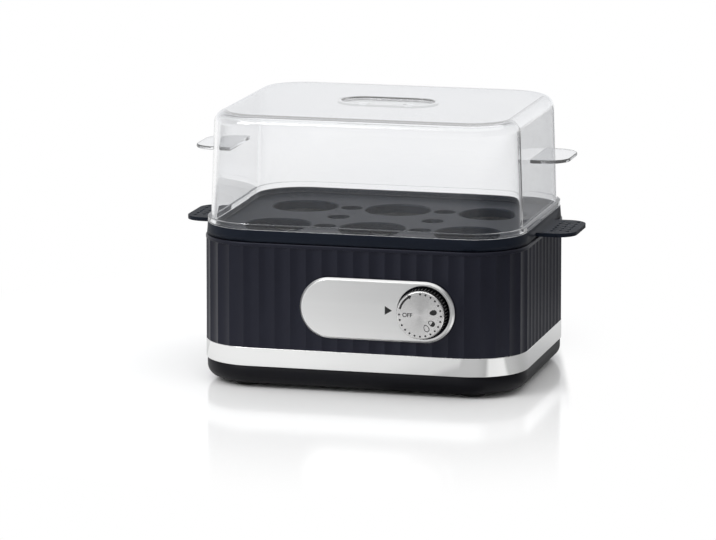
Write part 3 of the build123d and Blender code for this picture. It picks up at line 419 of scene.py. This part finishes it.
for slot, (name, dark, light, roughness, grain, metal) in INNER.items():
    node_materials[slot] = grained(name, slot, dark, light, roughness, grain * MM, INNER_DEPTH,
                                   Metallic=metal)
for part in frame["record"]["subparts"]:
    mesh = frame["nodes"][part["node"]].data
    mesh.materials.clear()
    mesh.materials.append(node_materials[part["material_slot"]])


# Lid: a drafted clear box with a flange, a spigot, two side tabs and a vented recess

def draw_tab(bm, side, is_wall, low_z, high_z):
    """Cut the tab's root out of the wall on one side and draw it outwards."""
    half_t = 20.0 * MM
    end_x = side * 100.7 * MM
    corner_round, edge_round = 12.0 * MM, 0.5 * MM
    sharp_turn = 1.0
    for point, normal in (((0, 0, low_z), (0, 0, 1)), ((0, 0, high_z), (0, 0, 1)),
                          ((0, -half_t, 0), (0, 1, 0)), ((0, half_t, 0), (0, 1, 0))):
        faces = [face for face in bm.faces if is_wall(face)]
        edges = once(edge for face in faces for edge in face.edges)
        geom = faces + edges + verts_of(edges)
        bmesh.ops.bisect_plane(bm, geom=geom, plane_co=point, plane_no=normal)
    root = [face for face in bm.faces if is_wall(face)
            and low_z < face.calc_center_median().z < high_z and abs(face.calc_center_median().y) < half_t]
    drawn = bmesh.ops.extrude_face_region(bm, geom=root)["geom"]
    bmesh.ops.delete(bm, geom=root, context="FACES_ONLY")
    for vert in of_kind(bmesh.types.BMVert, drawn):
        vert.co.x = end_x
    corners = [edge for edge in edges_at(bm, lambda co: abs(co.x - end_x) < WELD)
               if abs(edge.verts[0].co.z - edge.verts[1].co.z) > MM]
    soften(bm, corners, corner_round, 12)
    bm.normal_update()
    rim = [edge for edge in edges_at(bm, lambda co: side * co.x > half_w)
           if abs(edge.verts[0].co.z - edge.verts[1].co.z) < WELD and edge.calc_face_angle(0) > sharp_turn]
    soften(bm, rim, edge_round, 3)


def make_lid():
    wall = 2.0 * MM
    step_x, step_y = 2.95 * MM, 2.2 * MM
    slope = math.tan(math.radians(2.05))
    spigot_h = 2.5 * MM
    flange_h = 3.0 * MM
    flange_inset = 1.05 * MM
    spigot_step = 0.4 * MM
    roof_round, ceiling_round, edge_round = 6.2 * MM, 4.2 * MM, 0.35 * MM
    seat_z = lid_low.z + spigot_h
    flange_z = seat_z + flange_h
    top_z = lid_high.z

    def drafted(thick, z):
        """The wall's plan at a height, this far in from its outer skin."""
        shift = thick + (z - seat_z) * slope
        return stood_in(step_x + shift, step_y + shift, z)

    spigot_low = stood_in(step_x + spigot_step, step_y + spigot_step, lid_low.z)
    spigot_top = spigot_low._replace(z=seat_z)
    flange_low = stood_in(flange_inset, flange_inset, seat_z)
    flange_top = flange_low._replace(z=flange_z)
    inner_top = drafted(wall, top_z - wall)
    inner_low = drafted(wall, lid_low.z)
    outer_low = drafted(0, flange_z)
    outer_top = drafted(0, top_z)
    bm = bmesh.new()
    ceiling_edges = outline(bm, inner_top)
    roof_edges = walls(bm, [inner_top, inner_low, spigot_low, spigot_top, flange_low, flange_top, outer_low,
                            outer_top], ceiling_edges)
    face_over(bm, ceiling_edges)
    face_over(bm, roof_edges)
    soften(bm, edges_at(bm, outer_top.holds), roof_round, 8)
    soften(bm, edges_at(bm, inner_top.holds), ceiling_round, 8)
    for level in (flange_top, flange_low, spigot_low, inner_low):
        soften(bm, edges_at(bm, level.holds), edge_round, 2)
    bm.normal_update()
    tab_z, tab_t = top_z - 24.2 * MM, 1.8 * MM
    for side in (-1, 1):
        def is_wall(face):
            middle = face.calc_center_median()
            faces_side = abs(face.normal.x) > 0.99
            return faces_side and middle.z > flange_z and \
                side * middle.x > half_w - step_x - (middle.z - seat_z) * slope - wall / 2

        draw_tab(bm, side, is_wall, tab_z - tab_t, tab_z)

    # Recess in the roof with two steam vents, and its bulge below
    panels = [face for face in bm.faces if len(face.verts) > 4 * CORNER_STEPS]
    bmesh.ops.delete(bm, geom=panels, context="FACES_ONLY")
    roof_rim, ceiling_rim = (
        [edge for edge in edges_at(bm, lambda co: abs(co.z - z) < WELD) if edge.is_boundary]
        for z in (top_z, top_z - wall))
    half_l, half_t, middle_y = 25.0 * MM, 12.0 * MM, 5.0 * MM
    vent_r, vent_x, vent_y = 2.9 * MM, 12.0 * MM, 0.8 * MM
    floor_z = top_z - 1.2 * MM
    recess_top = Level(half_l, half_t, half_t, top_z, 0, middle_y)
    recess_floor = recess_top._replace(z=floor_z)
    bulge_top = grown(recess_top, wall)._replace(z=top_z - wall)
    bulge_low = bulge_top._replace(z=floor_z - wall)
    upper, lower = [], []
    for x in (-vent_x, vent_x):
        vent = circle(vent_r, floor_z, x, vent_y)
        upper.append(outline(bm, vent, 8))
        lower.append(walls(bm, [vent, vent._replace(z=floor_z - wall)], upper[-1]))
    ease = 0.4 * MM
    hollow = eased(grown(recess_top, MM), recess_top, recess_floor, ease) + \
        eased(recess_top, recess_floor, grown(recess_floor, -MM), ease)
    recess_rim = outline(bm, hollow[0])
    bulge_rim = outline(bm, bulge_top)
    recess_foot = walls(bm, hollow, recess_rim)
    bulge_foot = walls(bm, [bulge_top, bulge_low], bulge_rim)
    flat(bm, roof_rim, recess_rim)
    flat(bm, ceiling_rim, bulge_rim)
    flat(bm, recess_foot, *upper)
    flat(bm, bulge_foot, *lower)
    finish_piece("clear_lid", bm, lid_plastic, "lid", ["lid"], angle=40.0)


# Casing: a fluted shell with a smooth top edge and a ledge for the dish

FLUTES = 68
FLUTE_STEPS = 8


def plan_point(share):
    """A point this share of the way round the casing's plan, from the middle of the front, and its way in."""
    whole = 4 * (half_w + half_d) - 8 * corner_r + math.tau * corner_r
    left = share * whole
    place, heading = Vector((0, -half_d)), 0.0
    side, front = 2 * (half_d - corner_r), half_w - corner_r
    # Straight runs, with None for the corners between them
    for run in (front, None, side, None, 2 * front, None, side, None, front):
        length = run if run is not None else math.pi * corner_r / 2
        part = min(left, length)
        ahead = Vector((math.cos(heading), math.sin(heading)))
        inward = Vector((-ahead.y, ahead.x))
        if run is None:
            turn = part / corner_r
            centre = place + inward * corner_r
            heading += turn
            inward = Vector((-math.sin(heading), math.cos(heading)))
            place = centre - inward * corner_r
        else:
            place = place + ahead * part
        left -= part
        if left <= 0:
            return place, inward
    return place, inward


def make_casing():
    top_band = 2.0 * MM
    wall = 2.9 * MM
    ledge_w = 8.0 * MM
    ledge_t = 2.5 * MM
    seat = 1.1 * MM
    deep = 0.9 * MM
    rim_round, inner_round, flute_round = 0.8 * MM, 0.4 * MM, 0.2 * MM
    rim_z = casing_high.z
    ledge_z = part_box("dish_gasket")[0].z
    count = FLUTES * FLUTE_STEPS
    places = [plan_point(k / count) for k in range(count)]
    # A flute is shallow near its two ridges and deepest between them
    hollow = [deep * (1 - (2 * (k % FLUTE_STEPS) / FLUTE_STEPS - 1) ** 2) for k in range(count)]
    bm = bmesh.new()
    ring = bmesh.ops.create_circle(bm, segments=count, radius=half_w)["verts"]
    edges = once(edge for vert in ring for edge in vert.link_edges)
    order = {vert: k for k, vert in enumerate(ring)}

    def set_ring(ring_order, inset, fluted, z):
        """Put a ring of points on the plan: this far in, with or without the flutes, at a height."""
        for vert, k in ring_order.items():
            place, inward = places[k]
            vert.co = (place + inward * (inset + (hollow[k] if fluted else 0))).to_3d()
            vert.co.z = z

    inner = wall + ledge_w
    levels = [(seat, False, casing_low.z), (seat, False, band_high.z), (0, True, band_high.z),
              (0, True, rim_z - top_band), (0, False, rim_z - top_band), (0, False, rim_z),
              (wall, False, rim_z), (wall, False, ledge_z), (inner, False, ledge_z),
              (inner, False, ledge_z - ledge_t), (wall, False, ledge_z - ledge_t),
              (wall, False, casing_low.z), (seat, False, casing_low.z)]
    set_ring(order, *levels[0])
    for level in levels[1:]:
        # A new ring starts where the old one is, so its points are known by their places
        old_place = {vert.co.to_tuple(7): k for vert, k in order.items()}
        edges = of_kind(bmesh.types.BMEdge, bmesh.ops.extrude_edge_only(bm, edges=edges)["geom"])
        order = {vert: old_place[vert.co.to_tuple(7)] for vert in verts_of(edges)}
        set_ring(order, *level)
    bmesh.ops.remove_doubles(bm, verts=bm.verts, dist=MERGE)
    soften(bm, edges_at(bm, stood_in(0, 0, rim_z).holds), rim_round, 4)
    soften(bm, edges_at(bm, stood_in(wall, wall, rim_z).holds), inner_round, 2)
    soften(bm, edges_at(bm, stood_in(0, 0, rim_z - top_band).holds), flute_round, 2)
    finish_piece("fluted_casing", bm, casing_abs, "base", ["casing"])


# Bright band: a hoop with slightly rounded edges

def make_band():
    thick, edge_round = 1.0 * MM, 0.3 * MM
    low, high = stood_in(0, 0, band_low.z), stood_in(0, 0, band_high.z)
    inner_low, inner_high = stood_in(thick, thick, band_low.z), stood_in(thick, thick, band_high.z)
    bm = bmesh.new()
    walls(bm, [low, high, inner_high, inner_low, low], outline(bm, low))
    bmesh.ops.remove_doubles(bm, verts=bm.verts, dist=MERGE)
    soften(bm, edges_at(bm, low.holds) + edges_at(bm, high.holds), edge_round, 3)
    finish_piece("bright_band", bm, band_steel, "base", ["chrome_band"])


# Front plate: a bevelled stadium round the knob's hole

def make_plate():
    half_x = (plate_high.x - plate_low.x) / 2
    half_z = (plate_high.z - plate_low.z) / 2
    thick = plate_high.y - plate_low.y
    bevel = 1.1 * MM
    ease = 0.15 * MM
    hole_r = 14.0 * MM
    centre = (plate_low + plate_high) / 2
    back = Level(half_x, half_z, half_z, 0.0)
    shoulder = back._replace(z=thick - bevel)
    face = grown(back, -bevel)._replace(z=thick)
    skin = [back] + eased(back, shoulder, face, ease) + eased(shoulder, face, grown(face, -bevel), ease)
    hole = circle(hole_r, 0.0, knob_x - centre.x, knob_z - centre.z)
    hole_face = hole._replace(z=thick)
    bm = bmesh.new()
    back_rim = outline(bm, back)
    face_rim = walls(bm, skin, back_rim)
    hole_back = outline(bm, hole)
    hole_rim = walls(bm, [hole, hole_face], hole_back)
    flat(bm, face_rim, hole_rim)
    flat(bm, back_rim, hole_back)
    place = facing_front(centre.x, plate_high.y, centre.z)
    finish_piece("timer_plate", bm, plate_metal, "base", ["front_plate"], place)


# Knob: a ribbed skirt, hollow behind, and its spun face

# The ink's thickness, and how far the cap's face stands before the knob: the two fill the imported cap's depth
PRINT_T = 0.04 * MM
CAP_FACE = knob_low.y - cap_low.y - PRINT_T


def make_knob():
    ribs = 48
    rib_h = 0.8 * MM
    taper = 0.5 * MM
    front_t, wall_t = 2.0 * MM, 2.1 * MM
    hub_r = 5.2 * MM
    edge_round = 0.25 * MM
    depth = knob_high.y - knob_low.y
    rear, front = circle(knob_r, 0.0), circle(knob_r - taper, depth)
    inner, hub = circle(knob_r - wall_t, 0.0), circle(hub_r, 0.0)
    deep = depth - front_t
    bm = bmesh.new()
    rear_rim = outline(bm, rear, ribs)
    # Each rib takes four points of the rim, of which two lie in its groove
    rim = sorted(verts_of(rear_rim), key=lambda vert: math.atan2(vert.co.y, vert.co.x))
    for k, vert in enumerate(rim):
        if k % 4 in (0, 1):
            vert.co.xy *= (knob_r - rib_h) / knob_r
    front_rim = walls(bm, [rear, front], rear_rim)
    face_over(bm, front_rim)
    hub_end = walls(bm, [rear, inner, inner._replace(z=deep), hub._replace(z=deep), hub], rear_rim)
    face_over(bm, hub_end)
    soften(bm, edges_at(bm, lambda co: abs(co.z - depth) < WELD), edge_round, 2)
    place = facing_front(knob_x, knob_high.y, knob_z)
    finish_piece("ribbed_knob", bm, knob_abs, "knob", ["knob_body"], place)


def make_cap():
    radius = (cap_high.x - cap_low.x) / 2
    bevel, edge_round = 0.5 * MM, 0.12 * MM
    steps = 32
    rear, shoulder = circle(radius, 0.0), circle(radius, CAP_FACE - bevel)
    rim = circle(radius - bevel, CAP_FACE)
    bm = bmesh.new()
    rear_rim = outline(bm, rear, steps)
    front_rim = walls(bm, [rear, shoulder, rim], rear_rim)
    face_over(bm, rear_rim)
    face_over(bm, front_rim)
    soften(bm, edges_at(bm, shoulder.holds) + edges_at(bm, rim.holds), edge_round, 2)
    disc = next(face for face in bm.faces
                if len(face.verts) > 2 * steps and face.calc_center_median().z > CAP_FACE - WELD)
    bmesh.ops.poke(bm, faces=[disc])
    # The surface runs round the axis: its map's first coordinate is the turn
    turning = bm.loops.layers.uv.new("turning")
    for face in bm.faces:
        middle = face.calc_center_median()
        start = math.atan2(middle.y, middle.x)
        for corner in face.loops:
            co = corner.vert.co
            off = 0.0
            if co.xy.length > WELD:
                off = (math.atan2(co.y, co.x) - start + math.pi) % math.tau - math.pi
            corner[turning].uv = ((start + off) / math.tau, co.xy.length / radius)
    place = facing_front(knob_x, knob_low.y, knob_z)
    finish_piece("spun_cap", bm, cap_metal, "knob", ["knob_cap"], place)


# Printing: flat shapes with the ink's thickness, drawn round the knob's axis

DOTS_R = 11.0 * MM


def thicken(bm, faces):
    """Give flat faces the ink's thickness."""
    tops = of_kind(bmesh.types.BMVert, bmesh.ops.extrude_face_region(bm, geom=faces)["geom"])
    bmesh.ops.translate(bm, verts=tops, vec=(0, 0, PRINT_T))


def egg_sign(bm, centre, turn, filled):
    """An egg seen from the side, blunt end outwards: outlined, and filled from there by the given share."""
    half_l, half_t, line = 1.95 * MM, 1.4 * MM, 0.3 * MM
    bluntness = 0.18
    rim = circle(1.0, 0.0)
    edges = outline(bm, rim, 8)
    inner = walls(bm, [rim, circle(1 - line / half_t, 0.0)], edges)
    yolk = face_over(bm, inner)
    parts = verts_of(edges + inner)
    if filled < 1:
        level_x = 1 - 2 * filled
        cut = bmesh.ops.bisect_plane(bm, geom=yolk + list(yolk[0].edges) + list(yolk[0].verts),
                                     plane_co=(level_x, 0, 0), plane_no=(1, 0, 0))
        parts = once(parts + of_kind(bmesh.types.BMVert, cut["geom_cut"]))
        # The outline's faces have four corners, and the yolk's have more
        pieces = once(face for vert in parts for face in vert.link_faces if len(face.verts) > 4)
        empty = [face for face in pieces if face.calc_center_median().x < level_x]
        bmesh.ops.delete(bm, geom=empty, context="FACES")
    verts = [vert for vert in parts if vert.is_valid]
    for vert in verts:
        vert.co.y *= 1 + bluntness * vert.co.x
    bmesh.ops.scale(bm, verts=verts, vec=(half_l, half_t, 1))
    bmesh.ops.rotate(bm, verts=verts, cent=(0, 0, 0), matrix=Matrix.Rotation(turn, 3, "Z"))
    bmesh.ops.translate(bm, verts=verts, vec=(*centre, 0))
    return once(face for vert in verts for face in vert.link_faces)


def polar(radius, degrees):
    """A point on the dial: its distance from the axis and its angle from the right, anticlockwise."""
    return radius * math.cos(math.radians(degrees)), radius * math.sin(math.radians(degrees))


def turning_arrow(bm):
    """An arc with a head that shows which way the knob turns."""
    width, head = 1.0 * MM, 1.3 * MM
    start, stop, tip_ahead = 165.0, 124.0, 10.0
    ends = [bm.verts.new((*polar(DOTS_R + side * width / 2, start), 0)) for side in (-1, 1)]
    edge = bm.edges.new(ends)
    bmesh.ops.spin(bm, geom=ends + [edge], cent=(0, 0, 0), axis=(0, 0, 1), dvec=(0, 0, 0),
                   angle=math.radians(stop - start), steps=12)
    arc = list(bm.faces)
    base = [polar(DOTS_R + side * head, stop) for side in (-1, 1)]
    corners = [bm.verts.new((x, y, 0)) for x, y in (*base, polar(DOTS_R, stop - tip_ahead))]
    return arc + [bm.faces.new(corners)]


def lettering(text, size, place):
    """Words as a mesh of the ink's thickness, centred on their place, with strokes a little bolder."""
    words = bpy.data.curves.new("words", "FONT")
    words.body = text
    words.size = size
    words.align_x = "CENTER"
    words.align_y = "CENTER"
    words.extrude = PRINT_T / 2
    bolder = 0.05 * MM
    words.offset = bolder
    drawn = bpy.data.objects.new("words", words)
    mesh = bpy.data.meshes.new_from_object(drawn)
    mesh.transform(Matrix.Translation((*place, PRINT_T / 2)))
    bpy.data.objects.remove(drawn)
    return mesh


def make_dial_print():
    bm = bmesh.new()
    faces = turning_arrow(bm)
    # Nineteen dots, from OFF anticlockwise to the top
    dot_r, dot_step = 0.52 * MM, 15
    for k in range(19):
        faces += face_over(bm, outline(bm, circle(dot_r, 0.0, *polar(DOTS_R, 180 + dot_step * k)), 4))
    # Egg signs: hard filled, medium half filled, soft in outline; distance in mm, angle and filling
    for radius, degrees, filled in ((7.1, 14.0, 1.0), (7.2, -32.6, 0.5), (7.4, -63.0, 0.0)):
        faces += egg_sign(bm, polar(radius * MM, degrees), math.radians(degrees), filled)
    thicken(bm, faces)
    letter_h, letters_at = 3.0 * MM, (-6.7 * MM, -0.2 * MM)
    bm.from_mesh(lettering("OFF", letter_h, letters_at))
    place = facing_front(knob_x, knob_low.y - CAP_FACE, knob_z)
    finish_piece("dial_print", bm, print_ink, "knob", place=place)


def make_marker():
    """The plate's triangle that points to the knob."""
    bm = bmesh.new()
    left, tip, half_t, height = 17.3 * MM, 21.1 * MM, 2.3 * MM, 45.4 * MM
    corners = [bm.verts.new((x, y, 0)) for x, y in ((left, -half_t), (tip, 0), (left, half_t))]
    thicken(bm, [bm.faces.new(corners)])
    place = facing_front(0, plate_low.y, height)
    finish_piece("plate_marker", bm, print_ink, "base", place=place)


make_lid()
make_casing()
make_band()
make_plate()
make_knob()
make_cap()
make_dial_print()
make_marker()
smooth_copy("rounded_pan", "base_pan", pan_pp, "base")
smooth_copy("seat_tray", "egg_tray", tray_pp, "tray")
smooth_copy("water_dish", "heating_dish", dish_steel, "base")
smooth_copy("cord_sleeve", "cord_inlet", bushing_rubber, "base")

# Floor: a white tabletop; away from the cooker it is plain white light

FLOOR_HALF = 6.0
floor_mesh = bmesh.new()
bmesh.ops.create_grid(floor_mesh, x_segments=1, y_segments=1, size=FLOOR_HALF)
sheet = bpy.data.meshes.new("tabletop")
floor_mesh.to_mesh(sheet)
floor_mesh.free()
floor = bpy.data.objects.new("tabletop", sheet)
bpy.context.scene.collection.objects.link(floor)


def ray_kinds(tree):
    """Whether a ray has been mirrored, and whether it shows what it meets rather than lights it."""
    path = node(tree, "LightPath")
    mirrored = node(tree, "Math", {0: path.outputs["Glossy Depth"], 1: 1.0}, operation="MINIMUM")
    through = node(tree, "Math", {0: path.outputs["Is Camera Ray"], 1: path.outputs["Is Transmission Ray"]},
                   operation="MAXIMUM")
    seen = node(tree, "Math", {0: through.outputs[0], 1: path.outputs["Is Glossy Ray"]}, operation="MAXIMUM")
    return mirrored.outputs[0], seen.outputs[0]


def tabletop():
    """Acrylic sheet, cast: white, with a soft reflection near the cooker.

    Its colour for mirrored rays is a painted reflection: bright to the left and near the cooker, and darker to
    the right, with a dark sector painted for the bright band to show in its corner. Distances and places are
    in metres, from the middle of the cooker.
    """
    material, tree, shader = new_material("cast_acrylic_tabletop", "", Roughness=0.12)
    place = node(tree, "TexCoord").outputs["Object"]
    parts = node(tree, "SeparateXYZ", {"Vector": place})
    far = node(tree, "VectorMath", {0: place}, operation="LENGTH").outputs["Value"]
    turn = node(tree, "Math", {0: parts.outputs["Y"], 1: parts.outputs["X"]}, operation="ARCTAN2").outputs[0]

    # Painted reflection: the sheet's colour for mirrored rays, by the angle from the right close by, by X
    # farther off, and dim beyond that
    painted_reflection_near = ramp(tree, turn, [(math.radians(angle), tone) for angle, tone in (
        (-110, 0.84), (-92, 0.74), (-79, 0.6), (-74, 0.37), (-47, 0.37), (-42, 0.92), (-26, 1.0), (-21, 0.52),
        (0, 0.43), (30, 0.48), (52, 0.62))])
    painted_reflection_middle = ramp(tree, parts.outputs["X"], [(-0.28, 0.4), (-0.17, 0.72), (-0.12, 0.7), (-0.04, 0.06)])
    beyond = ramp(tree, far, [(0.2, 0.0), (0.28, 1.0)])
    closer = node(tree, "Mix", {SHARE: beyond, FIRST: painted_reflection_near, SECOND: painted_reflection_middle}, data_type="RGBA")
    painted_reflection_dimming = ramp(tree, far, [(0.38, 1.0), (0.46, 0.3)])
    tone = node(tree, "Mix", {SHARE: 1.0, FIRST: closer.outputs[MIXED], SECOND: painted_reflection_dimming}, data_type="RGBA",
                blend_type="MULTIPLY")
    mirrored, seen = ray_kinds(tree)
    # Painted reflection: mirrored rays see the painted tones, all other rays the plain white sheet
    painted_reflection_colour = node(tree, "Mix", {SHARE: mirrored, FIRST: linear("fafafa"), SECOND: tone.outputs[MIXED]},
                data_type="RGBA")
    tree.links.new(painted_reflection_colour.outputs[MIXED], shader.inputs["Base Color"])

    # Where the sheet gives way to white. Seen: away from the cooker, and right of its right edge in the
    # photo's view, with a soft change behind the cooker. Mirrored: far off, and behind it on the left
    edge_way = (0.968, 0.249, 0.0)
    aside = node(tree, "VectorMath", {0: place, 1: edge_way}, operation="DOT_PRODUCT").outputs["Value"]
    behind = ramp(tree, parts.outputs["Y"], [(0.03, 0.0), (0.12, 1.0)])
    beside = node(tree, "Mix", {SHARE: behind, FIRST: ramp(tree, aside, [(0.092, 0.0), (0.0965, 1.0)]),
                                SECOND: ramp(tree, aside, [(0.04, 0.0), (0.13, 1.0)])}, data_type="RGBA")
    away = ramp(tree, far, [(0.16, 0.0), (0.3, 1.0)])
    around = node(tree, "Math", {0: away, 1: beside.outputs[MIXED]}, operation="MAXIMUM")
    outer = ramp(tree, far, [(1.15, 0.0), (1.5, 1.0)])
    back = node(tree, "Math", {0: ramp(tree, parts.outputs["Y"], [(0.25, 0.0), (0.4, 1.0)]),
                               1: ramp(tree, parts.outputs["X"], [(0.12, 1.0), (0.16, 0.0)])},
                operation="MULTIPLY")
    far_off = node(tree, "Math", {0: outer, 1: back.outputs[0]}, operation="MAXIMUM")
    # A Mix node's sockets for numbers are 2 and 3
    fade = node(tree, "Mix", {0: mirrored, 2: around.outputs[0], 3: far_off.outputs[0]})
    share = node(tree, "Math", {0: fade.outputs[0], 1: seen}, operation="MULTIPLY")
    white = node(tree, "Emission", {"Color": linear("ffffff"), "Strength": 1.0})
    both = node(tree, "MixShader", {0: share.outputs[0], 1: shader.outputs[0], 2: white.outputs[0]})
    tree.links.new(both.outputs[0], tree.nodes["Material Output"].inputs["Surface"])
    return material


sheet.materials.append(tabletop())

# World: white where it is seen or refracted, a plain level for light, and greys where it is mirrored

PLAIN_LEVEL = (0.8, 0.8, 0.8, 1.0)
world = bpy.data.worlds.new("studio")
bpy.context.scene.world = world
world.use_nodes = True
sky = world.node_tree
sky.nodes.clear()
heading = node(sky, "SeparateXYZ", {"Vector": node(sky, "TexCoord").outputs["Generated"]})
rising = ramp(sky, heading.outputs["Z"], [(0.0, 1.0), (0.25, 0.85), (0.5, 0.45)])
sideways = ramp(sky, heading.outputs["X"], [(0.3, 1.0), (0.8, 0.5)])
greys = node(sky, "Mix", {SHARE: 1.0, FIRST: rising, SECOND: sideways}, data_type="RGBA",
             blend_type="MULTIPLY")
cool = node(sky, "Mix", {SHARE: 1.0, FIRST: greys.outputs[MIXED], SECOND: linear("f5f6f8")},
            data_type="RGBA", blend_type="MULTIPLY")
mirrored, seen = ray_kinds(sky)
backdrop = node(sky, "Mix", {SHARE: mirrored, FIRST: linear("ffffff"), SECOND: cool.outputs[MIXED]},
                data_type="RGBA")
shown = node(sky, "Mix", {SHARE: seen, FIRST: PLAIN_LEVEL, SECOND: backdrop.outputs[MIXED]},
             data_type="RGBA")
glow = node(sky, "Background", {"Color": shown.outputs[MIXED], "Strength": 1.0})
node(sky, "OutputWorld", {"Surface": glow.outputs[0]})

# Lamps: square, each turned to the cooker's lower middle; side in metres and power in watts
AIM = Vector((0, 0, 0.06))
for name, place, size, power in (("key_left", (-0.9, -1.1, 1.3), 0.9, 14.0),
                                 ("top_light", (0.1, 0.1, 1.6), 2.4, 12.0)):
    light = bpy.data.lights.new(name, "AREA")
    light.shape = "SQUARE"
    light.size = size
    light.energy = power
    lamp = bpy.data.objects.new(name, light)
    bpy.context.scene.collection.objects.link(lamp)
    lamp.location = place
    lamp.rotation_euler = (AIM - Vector(place)).to_track_quat("-Z", "Y").to_euler()

# Camera: the photograph's view, solved from its edges
view = bpy.data.cameras.new("view")
view.sensor_width = 36.0
view.lens = 231.4
camera = bpy.data.objects.new("view", view)
bpy.context.scene.collection.objects.link(camera)
eye = (0.58009, -2.31432, 0.51060)
right = Vector((0.968481, 0.249086, 0.000056))
up = Vector((-0.047026, 0.182622, 0.982058))
back = Vector((0.244606, -0.951108, 0.188579))
camera.matrix_world = Matrix.Translation(eye) @ Matrix((right, up, back)).transposed().to_4x4()
bpy.context.scene.camera = camera
bpy.context.scene.view_settings.view_transform = "Standard"
